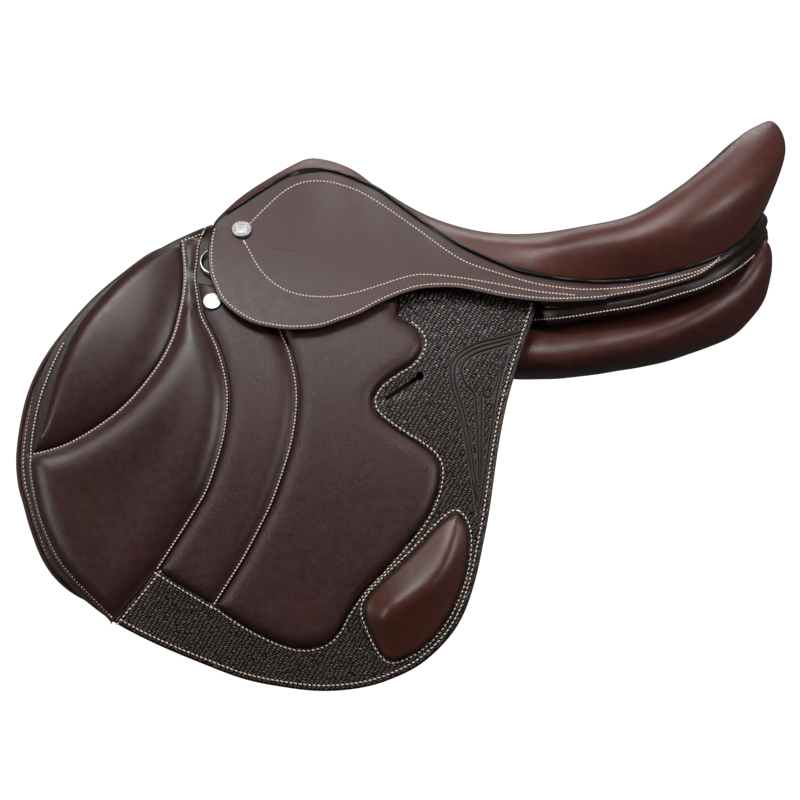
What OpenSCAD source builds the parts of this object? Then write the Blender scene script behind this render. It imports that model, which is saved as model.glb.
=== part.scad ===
// English jumping saddle. +Z up, the horse faces -X, the rider's left is -Y.
// The origin is on the centre plane, at the bearing level of the panels and half way along them.
// Every side piece is drawn on the +Y side and mirrored for the left.

/* [Leather] */
// Thickness of the outer flap
flap_t = 4; // [3:0.5:4]
// Thickness of the skirt
skirt_t = 3; // [2:0.5:3.5]
// Thickness of the sweat flap
sweat_t = 3; // [2:0.5:3]
// Thickness of the seat leather
cover_t = 2.5; // [1.5:0.5:2.5]
// Thickness of the textured trim
trim_t = 1.2; // [0.8:0.2:1.4]
// Radius of the piping around the seat
piping_r = 1.8; // [1.2:0.2:2]

/* [Padding] */
// Height of the knee roll above the flap
knee_h = 13; // [8:1:15]
// Height of the three flap pads
pad_h = 7; // [4:1:8]
// Height of the calf block
calf_h = 19; // [12:1:22]
// Thickness of the seat foam
foam_t = 6; // [4:1:6]

/* [Girth straps] */
// Width of one strap
billet_w = 26; // [20:1:27]
// Thickness of one strap
billet_t = 4; // [3:0.5:4]
// Diameter of the punched holes
hole_d = 5; // [4:0.5:7]
// Distance between two holes
hole_pitch = 25; // [20:1:26]
// Number of holes in one strap
hole_count = 5; // [3:1:6]

/* [Stirrup bar] */
// Diameter of the bar
bar_d = 9; // [8:0.5:9]
// Length of the safety catch behind the bar
catch_l = 16; // [12:1:18]

/* [Metal trim] */
// Diameter of the skirt nail
skirt_nail_d = 16; // [12:1:17]
// Diameter of the flap nail
flap_nail_d = 14; // [10:1:15]
// Radius of the dee
dee_r = 12; // [10:0.5:13]
// Wire diameter of the dee
dee_wire = 2.4; // [2:0.2:2.6]

/* [Hidden] */
$fn = 48;
SIDES = ["left", "right"];
CENTRE_NODES = ["tree_frame", "head_plate", "gullet_plate", "seat_webbing",
    "girth_web_front", "girth_web_rear", "seat_foam", "seat_cover", "seat_piping", "panel_facing"];
SIDE_NODES = ["spring_steel", "tree_point", "stirrup_bar", "bar_rivets", "bar_catch", "panel",
    "point_pocket", "sweat_flap", "skirt_upper", "skirt_nail", "skirt", "flap", "flap_trim",
    "knee_roll", "front_pad", "mid_pad", "main_pad", "calf_block", "flap_nail", "dee_chape", "dee",
    "billet_front", "billet_mid", "billet_rear", "buckle_guard"];

// Colours
chocolate = [0.20, 0.12, 0.10];
redbrown = [0.27, 0.13, 0.10];
darktrim = [0.12, 0.08, 0.07];
steel = [0.75, 0.75, 0.77];
gap = 0.4;

// The hinge line of the flap and skirt, and the curved side of the saddle below it
hinge_x0 = -239;
hinge_z0 = 110;
hinge_slope = -0.1375;
hinge_flare = 0.055;
function hinge_z(x) = hinge_z0 + hinge_slope * (x - hinge_x0);
function hinge_y(x) = 98 + hinge_flare * (x + 160);
function depth(x, z) = max(hinge_z(x) - z, 0);
function side_y(x, z, off = 0) = let (d = depth(x, z))
    hinge_y(x) - 18 + 110 * (1 - exp(-d / 150)) - 0.0002 * pow(x + 150, 2) * (1 - exp(-d / 60)) + off;
function side_tilt(x, z) = atan(110 / 150 * exp(-depth(x, z) / 150));
skirt_off = 17;
sweat_off = -14;

// General functions
function lerp(a, b, t) = a + (b - a) * t;
function unit(v) = v / norm(v);
function smooth(a, b, c, d, t) = 0.5 * (2 * b + (c - a) * t + (2 * a - 5 * b + 4 * c - d) * t * t
    + (3 * b - a - 3 * c + d) * t * t * t);
// Point at parameter u along a list, with a chosen point before and after it
function along(p, u, before, after) = let (n = len(p) - 1, i = min(floor(u), n - 1))
    smooth(i > 0 ? p[i - 1] : before, p[i], p[i + 1], i + 2 <= n ? p[i + 2] : after, u - i);
function refine(rows, k) = let (n = len(rows) - 1)
    [for (i = [0 : n * k]) along(rows, i / k, rows[0], rows[n])];
function normal2(a, b) = let (d = unit(b - a)) [-d[1], d[0]];
// Outline of a strip of thickness t along a polyline, with mitred bends
function band(p, t) = let (n = len(p) - 1, m = [for (i = [0 : n])
        let (a = normal2(p[max(i - 1, 0)], p[max(i, 1)]), b = normal2(p[min(i, n - 1)], p[min(i + 1, n)]))
        (a + b) / (1 + a * b)])
    concat([for (i = [0 : n]) p[i] + m[i] * t / 2], [for (i = [n : -1 : 0]) p[i] - m[i] * t / 2]);

// Closed solid through rings that all have the same number of points
module loft(rings) {
    k = len(rings[0]);
    n = len(rings) - 1;
    polyhedron(points = [for (r = rings) each r], faces = concat(
        [[for (j = [0 : k - 1]) j]],
        [for (i = [0 : n - 1], j = [0 : k - 1]) let (a = i * k + j, b = i * k + (j + 1) % k)
            each [[a, a + k, b + k], [a, b + k, b]]],
        [[for (j = [k - 1 : -1 : 0]) n * k + j]]));
}

module on_side(name) {
    if (name == "left") mirror([0, 1, 0]) children();
    else children();
}

// Profile drawn in the YZ plane and extruded along X, centred on X = 0
module extrude_x(w) {
    rotate([90, 0, 90]) translate([0, 0, -w / 2]) linear_extrude(w) children();
}

// ---------- Seat surface ----------
// Each station runs from the centre line over the rim and the widest line to the lower edge.
SEAT = [
    [[-166, 0, 148], [-182, 27, 141], [-210, 58, 125], [-228, 82, 116]],
    [[-176, 0, 165], [-192, 29, 156], [-217, 60, 138], [-233, 84, 122]],
    [[-163, 0, 178], [-177, 29, 169], [-203, 56, 151], [-222, 81, 132]],
    [[-145, 0, 178], [-150, 26, 174], [-166, 44, 168], [-177, 56, 162]],
    [[-122, 0, 169], [-126, 24, 170], [-133, 40, 169], [-141, 54, 167]],
    [[-95, 0, 149], [-97, 30, 150], [-99, 50, 151], [-101, 66, 151]],
    [[-60, 0, 130], [-60, 35, 130], [-61, 65, 127], [-61, 83, 120]],
    [[-20, 0, 118], [-20, 45, 118], [-21, 80, 112], [-22, 96, 98]],
    [[20, 0, 114], [20, 52, 116], [20, 90, 106], [20, 101, 84]],
    [[60, 0, 115], [60, 78, 121], [60, 107, 106], [60, 105, 77]],
    [[100, 0, 120], [100, 90, 130], [101, 119, 110], [100, 108, 79]],
    [[130, 0, 132], [136, 88, 152], [144, 118, 126], [138, 108, 86]],
    [[155, 0, 148], [167, 72, 176], [184, 100, 148], [170, 98, 98]],
    [[172, 0, 163], [192, 44, 198], [213, 66, 168], [192, 72, 114]],
    [[184, 0, 178], [214, 0, 210], [228, 0, 186], [210, 0, 134]]];
SEAT_N = len(SEAT) - 1;
function flip_y(p) = [p[0], -p[1], p[2]];
function seat_column(c, u) = let (col = [for (s = SEAT) s[c]])
    along(col, u, col[0], flip_y(col[SEAT_N - 1]));
function seat_point(u, v) = let (q = [for (c = [0 : 3]) seat_column(c, u)])
    along(q, v, flip_y(q[1]), q[3]);

// Layer of the seat between the depths t0 and t1 under its surface, over the cells that keep chooses
module seat_layer(t0, t1, keep) {
    nu = 28;
    nv = 8;
    w = nv + 1;
    half = [for (i = [0 : nu]) [for (j = [0 : nv]) seat_point(i / nu * SEAT_N, j / nv * 3)]];
    grid = [for (i = [0 : 2 * nu]) i <= nu ? half[i] : [for (p = half[2 * nu - i]) flip_y(p)]];
    normals = [for (i = [0 : 2 * nu]) [for (j = [0 : nv])
        let (last = j > 0 ? 2 * nu : nu, k = min(i, last),
            du = grid[min(k + 1, last)][j] - grid[max(k - 1, 0)][j],
            dv = j > 0 ? grid[i][min(j + 1, nv)] - grid[i][j - 1] : [0, 1, 0])
        unit(cross(du, dv))]];
    layer = function (t) [for (i = [0 : 2 * nu]) for (j = [0 : nv]) grid[i][j] - t * normals[i][j]];
    inside = function (i, j) i >= 0 && i < 2 * nu && j < nv
        && keep((min(i, 2 * nu - 1 - i) + 0.5) / nu * SEAT_N, (j + 0.5) / nv * 3);
    id = function (i, j) j == 0 && i > nu ? (2 * nu - i) * w : i * w + j;
    low = (2 * nu + 1) * w;
    polyhedron(points = concat(layer(t0), layer(t1)),
        faces = [for (i = [0 : 2 * nu - 1], j = [0 : nv - 1]) if (inside(i, j))
            let (a = id(i, j), b = id(i, j + 1), c = id(i + 1, j + 1), d = id(i + 1, j))
            each concat(
                [[a, b, c], [a, c, d], [c + low, b + low, a + low], [d + low, c + low, a + low]],
                inside(i - 1, j) ? [] : [[b, a, a + low], [b, a + low, b + low]],
                inside(i, j + 1) ? [] : [[c, b, b + low], [c, b + low, c + low]],
                inside(i + 1, j) ? [] : [[d, c, c + low], [d, c + low, d + low]],
                j == 0 || inside(i, j - 1) ? [] : [[a, d, d + low], [a, d + low, a + low]])]);
}

foam_top = cover_t + gap;
steel_top = foam_top + foam_t + gap;
steel_t = 1.4;
tree_top = steel_top + steel_t + gap;
tree_t = 8;
gullet_top = tree_top + tree_t + gap;

module seat_cover() {
    color(redbrown) seat_layer(0, cover_t, function (u, v) true);
}

module seat_foam() {
    color("khaki") seat_layer(foam_top, foam_top + foam_t, function (u, v) u > 1.5 && v < 2.2);
}

module seat_webbing() {
    color("tan") seat_layer(steel_top, steel_top + steel_t, function (u, v) u > 4.4 && u < 10.4 && v < 1.1);
}

module tree_frame() {
    color("burlywood") seat_layer(tree_top, tree_top + tree_t, function (u, v)
        u < 2.4 ? false : u < 4 ? v < 2 : u < 10.5 ? v > 0.8 && v < 1.9 : u < 11.6 ? v < 1.4 : v < 0.7);
}

module head_plate() {
    color(steel) seat_layer(steel_top, steel_top + steel_t, function (u, v) u > 2.4 && u < 3.8 && v < 1.8);
}

module gullet_plate() {
    color(steel) seat_layer(gullet_top, gullet_top + 2, function (u, v) u > 2.4 && u < 3.8 && v < 1.4);
}

// One steel per side, so the other half of the layer is cut away
module spring_steel(side) {
    color(steel) on_side(side) difference() {
        seat_layer(steel_top, steel_top + steel_t - 0.3,
            function (u, v) u > 4.4 && u < 10.4 && v > 1.6 && v < 1.8);
        translate([-300, -300, 0]) cube([600, 300, 300]);
    }
}

// ---------- Piping and the facing between seat and panels ----------
function ring_at(p, t, r, k) = let (s = unit(cross(t, [0, 0, 1])), w = unit(cross(s, t)))
    [for (j = [0 : k - 1]) p + r * (cos(360 * j / k) * s - sin(360 * j / k) * w)];

module seat_piping() {
    n = 26;
    half = [for (i = [0 : n]) let (p = seat_point(1 + i / n * (SEAT_N - 1), 3),
        q = seat_point(1 + i / n * (SEAT_N - 1), 2)) p + 0.5 * unit(p - q) * piping_r
        + unit([max(p[0] - 100, 0), p[1], 0]) * (piping_r + 0.5)];
    path = concat(half, [for (i = [n - 1 : -1 : 0]) flip_y(half[i])]);
    m = len(path) - 1;
    color("black") loft([for (i = [0 : m])
        ring_at(path[i], unit(path[min(i + 1, m)] - path[max(i - 1, 0)]), piping_r, 6)]);
}

// Rows: x, y, top and bottom of the facing
FACING = [[30, 105, 49, 43], [48, 107, 54, 45], [72, 107, 58, 49], [103, 107, 64, 54],
    [134, 105, 72, 63], [151, 101, 78, 68], [168, 95, 87, 76], [183, 82, 97, 86], [197, 60, 109, 98],
    [206, 32, 118, 107], [209, 0, 122, 112]];

module panel_facing() {
    t = 3;
    rows = concat(FACING, [for (i = [len(FACING) - 2 : -1 : 0]) let (r = FACING[i]) [r[0], -r[1], r[2], r[3]]]);
    m = len(rows) - 1;
    color(redbrown) loft([for (i = [0 : m])
        let (r = rows[i], a = rows[max(i - 1, 0)], b = rows[min(i + 1, m)],
            n = unit([b[1] - a[1], a[0] - b[0]]) * t, p = [r[0], r[1]])
        [[p[0], p[1], r[2]], [p[0] + n[0], p[1] + n[1], r[2]],
            [p[0] + n[0], p[1] + n[1], r[3]], [p[0], p[1], r[3]]]]);
}

// ---------- Panels ----------
// Rows: x, centre y, centre z, half length, half thickness and tilt of the oval section
PANEL = [[-222, 60, 62, 24, 5, 66], [-212, 58, 58, 38, 9, 66], [-188, 58, 54, 42, 11, 64],
    [-150, 63, 44, 36, 16, 50], [-110, 65, 36, 32, 18, 36], [-70, 64, 29, 30, 20, 26],
    [-35, 64, 27, 31, 20, 20], [0, 70, 25, 38, 22, 16], [40, 72, 24, 41, 22, 12], [80, 71, 28, 40, 22, 8],
    [120, 69, 35, 38, 22, 4], [155, 64, 47, 34, 22, 0], [180, 58, 60, 29, 23, -4],
    [198, 53, 76, 23, 20, -8], [208, 50, 86, 14, 13, -8]];

module panel(side) {
    k = 14;
    color(redbrown) on_side(side) loft([for (r = refine(PANEL, 2))
        [for (j = [0 : k - 1]) let (a = 360 * j / k, p = r[3] * cos(a), q = r[4] * sin(a))
            [r[0], r[1] + p * cos(r[5]) + q * sin(r[5]), r[2] - p * sin(r[5]) + q * cos(r[5])]]]);
}

// ---------- Sheets that follow the curved side ----------
// Rows: x, bottom and top of the sheet. Both faces follow the side surface.
module side_sheet(rows, inner, outer, across) {
    loft([for (r = rows) concat(
        [for (j = [0 : across]) let (z = lerp(r[1], r[2], j / across)) [r[0], outer(r[0], z), z]],
        [for (j = [across : -1 : 0]) let (z = lerp(r[1], r[2], j / across)) [r[0], inner(r[0], z), z]])]);
}

// Depth of the cut-out that leaves the stirrup bar free
notch = 31;
FLAP = [[-377, -60, -44], [-374, -84, -20], [-366, -117, 5], [-352, -148, 33], [-335, -167, 55],
    [-312, -184, 76], [-285, -200, 96], [-264, -208, 108], [-240, -218, 108.3], [-208, -230, 104],
    [-204, -231, hinge_z(-204) - notch], [-165, -238, hinge_z(-165) - notch],
    [-125, -239, hinge_z(-125) - notch], [-100, -234, hinge_z(-100) - notch],
    [-84, -228, hinge_z(-84) - notch], [-80, -226, 86.5], [-60, -213, 84], [-45, -197, 82],
    [-36, -182, 80.5], [-28, -160, 79.5], [-20, -122, 78.5], [-14, -80, 77.5], [-8, -48, 77],
    [0, -12, 75.5], [8, 14, 74.5], [16, 37, 73.5], [23, 58, 72.5]];

module keeper_slot() {
    translate([-83, 100, -7.5]) rotate([0, -34, 0]) {
        translate([-16, 0, -1.6]) cube([32, 80, 3.2]);
        translate([16, 0, 0]) rotate([-90, 0, 0]) cylinder(r = 3, h = 80);
    }
}

module flap(side) {
    color(chocolate) on_side(side) difference() {
        side_sheet(FLAP, function (x, z) side_y(x, z), function (x, z) side_y(x, z, flap_t), 7);
        keeper_slot();
    }
}

SWEAT = [[-385, -72, -50], [-382, -95, -28], [-374, -120, 2], [-360, -148, 25], [-345, -163, 44],
    [-328, -172, 64], [-310, -178, 79], [-284, -190, 98], [-262, -200, 104], [-240, -209, 96],
    [-220, -215, 72], [-190, -223, 67], [-150, -229, 62], [-120, -228, 58], [-90, -220, 54],
    [-65, -205, 51], [-52, -190, 49], [-45, -170, 48], [-40, -140, 47]];
function sweat_y(x, z, off) = side_y(x, z, sweat_off + off - 10 * (1 - exp(-depth(x, z) / 60)));

module sweat_flap(side) {
    color(redbrown) on_side(side) side_sheet(SWEAT, function (x, z) sweat_y(x, z, -sweat_t),
        function (x, z) sweat_y(x, z, 0), 6);
}

SKIRT_LOW = [[-231, 75], [-225, 61], [-213, 50], [-201, 43.5], [-197, 42], [-178, 38], [-155, 38],
    [-132, 44], [-108, 55], [-85, 65], [-62, 71], [-38, 71], [-7, 64], [24, 60], [46, 59.5], [65, 61]];
// Clearance above and below the hinge line, with room for the skirt nail at the front
upper_gap = 1.6;
lower_gap = 4;
nail_gap = 14;
nail_end = -200;
function skirt_head(x) = hinge_z(x) - (x < nail_end ? nail_gap : lower_gap);

module skirt(side) {
    color(chocolate) on_side(side) side_sheet(
        [for (r = SKIRT_LOW) [r[0], r[1], skirt_head(r[0])]],
        function (x, z) side_y(x, z, skirt_off), function (x, z) side_y(x, z, skirt_off + skirt_t), 4);
}

// Rows: x, outer y and z of the top edge
SKIRT_TOP = [[-234, 84, 118], [-229, 85, 123.5], [-216, 78, 133], [-204, 71, 141], [-190, 63, 150.5],
    [-177, 55.5, 158], [-165, 50, 163], [-153, 50.5, 164], [-141, 53.5, 163], [-129, 56.5, 160],
    [-117, 59.5, 155], [-101, 65.5, 147], [-85, 72.5, 135], [-69, 79.5, 123], [-53, 86.5, 112],
    [-38, 91.5, 102], [-22, 95.5, 94], [-6, 98.5, 87], [9, 100.5, 81], [25, 101.5, 77.5],
    [41, 102.5, 74.8], [56, 103.5, 73.5], [72, 104.5, 72.5], [90, 106, 73], [103, 107, 74.5], [135, 108.5, 82],
    [151, 105.5, 87], [163, 100, 92.5], [169, 96, 95.5]];
// Rows: x, outer y and z of the lower edge behind the moving part
SKIRT_TIP = [[76, 113, 62], [103, 113.5, 67], [135, 111, 74], [151, 107, 80], [163, 101.5, 88], [169, 97, 94]];
function skirt_foot(x) = x < 76
    ? [hinge_y(x) - 18 + skirt_off + skirt_t, hinge_z(x) + upper_gap]
    : [lookup(x, [for (r = SKIRT_TIP) [r[0], r[1]]]), lookup(x, [for (r = SKIRT_TIP) [r[0], r[2]]])];

module skirt_upper(side) {
    n = 4;
    color(chocolate) on_side(side) loft([for (r = SKIRT_TOP) let (f = skirt_foot(r[0]),
        face = [for (j = [0 : n]) let (s = j / n)
            [r[0], lerp(f[0], r[1], s) + 0.05 * (r[2] - f[1]) * sin(180 * s), lerp(f[1], r[2] - 0.7, s)]])
        concat(face, [for (j = [n : -1 : 0]) face[j] - [0, skirt_t, 0]])]);
}

// ---------- Pads on the flap ----------
// Rows: z, front x and rear x of the pad. The crown rises from a thin welted edge.
pad_base = flap_t + 0.3;
pad_edge = 1.2;
pad_seam = 1.3;
crown_s = [0, 0.1, 0.25, 0.5, 0.75, 0.9, 1];
function crown(s) = sqrt(max(0, 1 - pow(abs(2 * s - 1), 2.5)));

module pad(rows, h, base = pad_base) {
    fine = refine(rows, 2);
    n = len(fine) - 1;
    loft([for (i = [0 : n]) let (r = fine[i], a = r[1] + pad_seam, b = r[2] - pad_seam,
            end = pow(crown(lerp(0.02, 0.98, i / n)), 0.7))
        concat(
            [for (s = crown_s) let (x = lerp(a, b, s))
                [x, side_y(x, r[0], base + pad_edge + h * crown(s) * end), r[0]]],
            [for (s = [1, 0.5, 0]) let (x = lerp(a, b, s)) [x, side_y(x, r[0], base), r[0]]])]);
}

KNEE = [[104, -268, -259], [97, -284, -258], [84, -302, -256], [70, -320, -256], [47, -338, -260],
    [26, -346, -267], [-1, -353, -283], [-21, -357, -301], [-36, -360, -324], [-49, -366, -352]];
FRONT = [[104, -259, -248], [85, -256, -247], [61, -257, -245], [38, -262, -237], [13, -273, -225],
    [-15, -294, -219], [-39, -325, -220], [-56, -366, -225], [-87, -366, -235], [-117, -358, -253],
    [-145, -345, -271], [-163, -331, -284], [-180, -311, -297]];
MID = [[50, -241, -183], [22, -229, -173], [-5, -221, -167], [-32, -220, -167], [-63, -227, -173],
    [-94, -240, -184], [-128, -260, -200], [-147, -270, -211], [-160, -250, -219], [-170, -233, -226]];
MAIN = [[48, -183, -88], [38, -179, -76], [24, -174, -69], [9, -169, -81], [-6, -167, -102],
    [-21, -167, -107], [-36, -168, -94], [-52, -171, -70], [-69, -175, -57], [-90, -182, -57],
    [-113, -192, -70], [-140, -206, -93], [-163, -220, -116], [-180, -212, -129], [-193, -197, -137],
    [-203, -176, -150]];
CALF = [[-106, -46, -39], [-117, -57, -34], [-133, -73, -33], [-155, -97, -37], [-168, -108, -43],
    [-182, -111, -50], [-195, -108, -59], [-206, -101, -71], [-213, -95, -86]];

module knee_roll(side) { color(chocolate) on_side(side) pad(KNEE, knee_h); }
module front_pad(side) { color(chocolate) on_side(side) pad(FRONT, pad_h); }
module mid_pad(side) { color(chocolate) on_side(side) pad(MID, pad_h); }
module main_pad(side) { color(chocolate) on_side(side) pad(MAIN, pad_h); }
module calf_block(side) {
    color(redbrown) on_side(side) pad(CALF, calf_h, pad_base + trim_t + 0.3);
}

// Rows: the inner edge along the main pad, then the outer edge along the flap, as x and z
TRIM = [[-271, -150, -299, -189], [-254, -160, -268, -205], [-215, -185, -236, -216],
    [-185, -202, -192, -231], [-159, -208, -146, -238], [-137, -199, -100, -232], [-128, -181, -70, -218],
    [-115, -164, -50, -201], [-92, -141, -37, -178], [-68, -114, -27, -150], [-55, -91, -20, -115],
    [-55, -69, -15, -85], [-68, -50, -12, -62], [-92, -34, -9, -42], [-105, -21, -5, -25],
    [-100, -6, -1, -10], [-79, 9, 4, 5], [-67, 24, 9, 20], [-73, 39, 14, 36], [-86, 50, 19, 52]];

module flap_trim(side) {
    n = 4;
    face = function (r, off) [for (j = [0 : n])
        let (x = lerp(r[0], r[2], j / n), z = lerp(r[1], r[3], j / n)) [x, side_y(x, z, off), z]];
    color(darktrim) on_side(side) difference() {
        loft([for (r = TRIM) let (high = face(r, pad_base + trim_t))
            concat(face(r, pad_base), [for (j = [n : -1 : 0]) high[j]])]);
        keeper_slot();
    }
}

// ---------- Nails and dee ----------
module on_flap(x, z, off) {
    translate([x, side_y(x, z, off), z]) rotate([side_tilt(x, z), 0, 0]) children();
}

module nail(d, h) {
    rotate([-90, 0, 0]) difference() {
        cylinder(d = d, h = h);
        translate([0, 0, h - 0.4]) cylinder(d = d - 2.4, h = 1);
    }
}

module skirt_nail(side) {
    color(steel) on_side(side) translate([-210, 94, 117]) rotate([37.5, 0, 0]) nail(skirt_nail_d, 2.4);
}

module flap_nail(side) {
    color(steel) on_side(side) on_flap(-232, 59.5, flap_t + 0.8) nail(flap_nail_d, 8);
}

dee_x = -230;
dee_z = 92;
dee_off = flap_t + 4.2;

module dee_chape(side) {
    color(chocolate) on_side(side) on_flap(dee_x, dee_z, dee_off) difference() {
        union() {
            translate([0, 0, -7]) cylinder(r = 2.9, h = 14);
            translate([1.7, -3.1, -7]) cube([17, 2, 14]);
        }
        translate([0, 0, -8]) cylinder(d = dee_wire + 0.6, h = 16);
    }
}

module dee(side) {
    color(steel) on_side(side) on_flap(dee_x, dee_z, dee_off) {
        translate([0, 0, -dee_r]) cylinder(d = dee_wire, h = 2 * dee_r);
        rotate([90, 0, 0]) rotate([0, 0, 90]) rotate_extrude(angle = 180)
            translate([dee_r, 0]) circle(d = dee_wire);
    }
}

// ---------- Stirrup bar ----------
// Local frame: X along the bar, Y outboard, Z up, with its origin on the hinge line
bar_x = -160;
bar_drop = 16;
bar_in = 4;
bar_end = 34;
plate_in = 21;
rivet_x = [-31, 6];
module at_bar() {
    slope = atan(-hinge_slope / norm([1, hinge_flare]));
    translate([bar_x, hinge_y(bar_x), hinge_z(bar_x)])
        rotate([0, slope, atan(hinge_flare)]) children();
}

// Across the bar's free end, about the pin of the catch
module at_catch_pin() {
    translate([bar_end - bar_d / 2, -bar_in, -bar_drop]) rotate([90, 0, 0]) children();
}

module stirrup_bar(side) {
    color(steel) on_side(side) at_bar() difference() {
        union() {
            translate([-31, -bar_in, -bar_drop]) rotate([0, 90, 0])
                cylinder(d = bar_d, h = bar_end + 31 - bar_d / 2);
            intersection() {
                translate([0, -bar_in, -bar_drop]) rotate([0, 90, 0]) cylinder(d = bar_d, h = 60);
                at_catch_pin() cylinder(d = bar_d, h = 20, center = true);
            }
            translate([-39, -plate_in, -20.5]) cube([52, 4, 22]);
            translate([-39, -plate_in, -20.5]) cube([8, plate_in, bar_d]);
        }
        translate([bar_end - 11, -bar_in - 1.7, -bar_drop - 6]) cube([14, 3.4, 12]);
        at_catch_pin() cylinder(r = 1.5, h = 20, center = true);
        for (x = rivet_x) translate([x, 0, -7]) rotate([90, 0, 0]) cylinder(r = 2.6, h = 40);
    }
}

module bar_rivets(side) {
    color(steel) on_side(side) at_bar() {
        for (x = rivet_x) translate([x, -15.4, -7]) rotate([90, 0, 0]) {
            cylinder(r = 4.2, h = 1.4);
            cylinder(r = 2.4, h = 16);
        }
        at_catch_pin() cylinder(r = 1.4, h = 8.4, center = true);
    }
}

module bar_catch(side) {
    color(steel) on_side(side) at_bar() difference() {
        intersection() {
            union() {
                at_catch_pin() cylinder(r = 3.2, h = 2.6, center = true);
                translate([bar_end - bar_d / 2, -bar_in - 1.3, -bar_drop - 3.2]) cube([8, 2.6, 6.4]);
                translate([bar_end + 0.4, -bar_in - 5, -bar_drop - 5]) cube([catch_l, 10, 10]);
            }
            translate([0, -bar_in, -bar_drop]) rotate([0, 90, 0]) cylinder(d = bar_d - 0.6, h = 80);
        }
        at_catch_pin() cylinder(r = 1.55, h = 20, center = true);
    }
}

// ---------- Tree points and their pockets ----------
POINT = [[46, 138], [57, 112], [66, 88], [76, 60], [81.5, 42]];

module tree_point(side) {
    color("burlywood") on_side(side) difference() {
        intersection() {
            translate([-170, 0, 0]) extrude_x(100) polygon(band(POINT, 5));
            translate([0, 200, 0]) rotate([90, 0, 0]) linear_extrude(200)
                polygon([[-214, 128], [-160, 128], [-144, 92], [-180, 86], [-190, 70], [-190, 44], [-212, 44]]);
        }
        at_bar() for (x = rivet_x) translate([x, 0, -7]) rotate([90, 0, 0]) cylinder(r = 2.7, h = 60);
    }
}

module point_pocket(side) {
    color(redbrown) on_side(side) translate([-201, 0, 0]) difference() {
        extrude_x(28) polygon(band([[77.5, 58], [81.7, 41.2], [82.4, 38.5]], 9));
        extrude_x(24) polygon(band([[73.5, 67], [76, 60], [81.5, 42]], 5.8));
    }
}

// ---------- Girth straps ----------
strap_x = [-128, -94, -60];
pivot_y = 96;
pivot_z = 58;
strap_tilt = 14.6;
strap_l = 243;
strap_set = 8.8;
module at_strap(i) {
    translate([strap_x[i], pivot_y, pivot_z]) rotate([strap_tilt, 0, 0]) children();
}

module billet(i) {
    color(chocolate) at_strap(i) difference() {
        extrude_x(billet_w) polygon(band([[-0.5, 2], [strap_set, -31.2], [strap_set, -strap_l]], billet_t));
        for (k = [0 : hole_count - 1]) translate([0, 0, 20 - strap_l + k * hole_pitch])
            rotate([-90, 0, 0]) cylinder(d = hole_d, h = 20);
    }
}

module girth_web(x, w, top) {
    profile = concat([[0, top]], [[40, top - 1], [56, lerp(top, 84, 0.45)], [75, 84], [91, 56.5], [100.5, 40.5]]);
    color("tan") translate([x, 0, 0]) extrude_x(w)
        polygon(band(concat([for (i = [len(profile) - 1 : -1 : 1]) [-profile[i][0], profile[i][1]]], profile), 2.5));
}
module girth_web_front() { girth_web(-128, 26, 126); }
module girth_web_rear() { girth_web(-77, 60, 104); }

// The guard rides on the front strap and has a slot for each strap
guard_top = -42;
guard_l = 58;
module buckle_guard(side) {
    clear = 1;
    front = strap_set + billet_t / 2 + clear;
    back = strap_set - billet_t / 2 - clear;
    pitch = strap_x[1] - strap_x[0];
    x0 = -billet_w / 2 - 7;
    w = 2 * pitch + billet_w + 14;
    color(chocolate) on_side(side) at_strap(0) {
        translate([x0, front, guard_top - guard_l]) cube([w, 2.2, guard_l]);
        for (z = [guard_top - 12, guard_top - guard_l + 2]) translate([x0, 0, z]) {
            translate([0, back - 2, 0]) cube([w, 2, 10]);
            for (i = [0 : 3]) translate([i == 0 ? 0 : i == 3 ? w - 5.4 : i * pitch - pitch + billet_w + 8.4, back, 0])
                cube([i == 0 || i == 3 ? 5.4 : pitch - billet_w - 2.8, front - back, 10]);
        }
    }
}

// ---------- Output ----------
tree_frame();
head_plate();
gullet_plate();
seat_webbing();
girth_web_front();
girth_web_rear();
seat_foam();
seat_cover();
seat_piping();
panel_facing();
for (s = SIDES) {
    spring_steel(s);
    tree_point(s);
    stirrup_bar(s);
    bar_rivets(s);
    bar_catch(s);
    panel(s);
    point_pocket(s);
    sweat_flap(s);
    skirt_upper(s);
    skirt_nail(s);
    skirt(s);
    flap(s);
    flap_trim(s);
    knee_roll(s);
    front_pad(s);
    mid_pad(s);
    main_pad(s);
    calf_block(s);
    flap_nail(s);
    dee_chape(s);
    dee(s);
    on_side(s) billet(0);
    on_side(s) billet(1);
    on_side(s) billet(2);
    buckle_guard(s);
}
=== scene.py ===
"""English jumping saddle: the looks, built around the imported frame.

Shape code works in millimetres in the frame's axes: -X to the head of the horse, +Z up.
Side pieces are made on the +Y side and mirrored for the left.
"""

import math

import bmesh
import bpy
import numpy as np
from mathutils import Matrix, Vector, geometry


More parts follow.
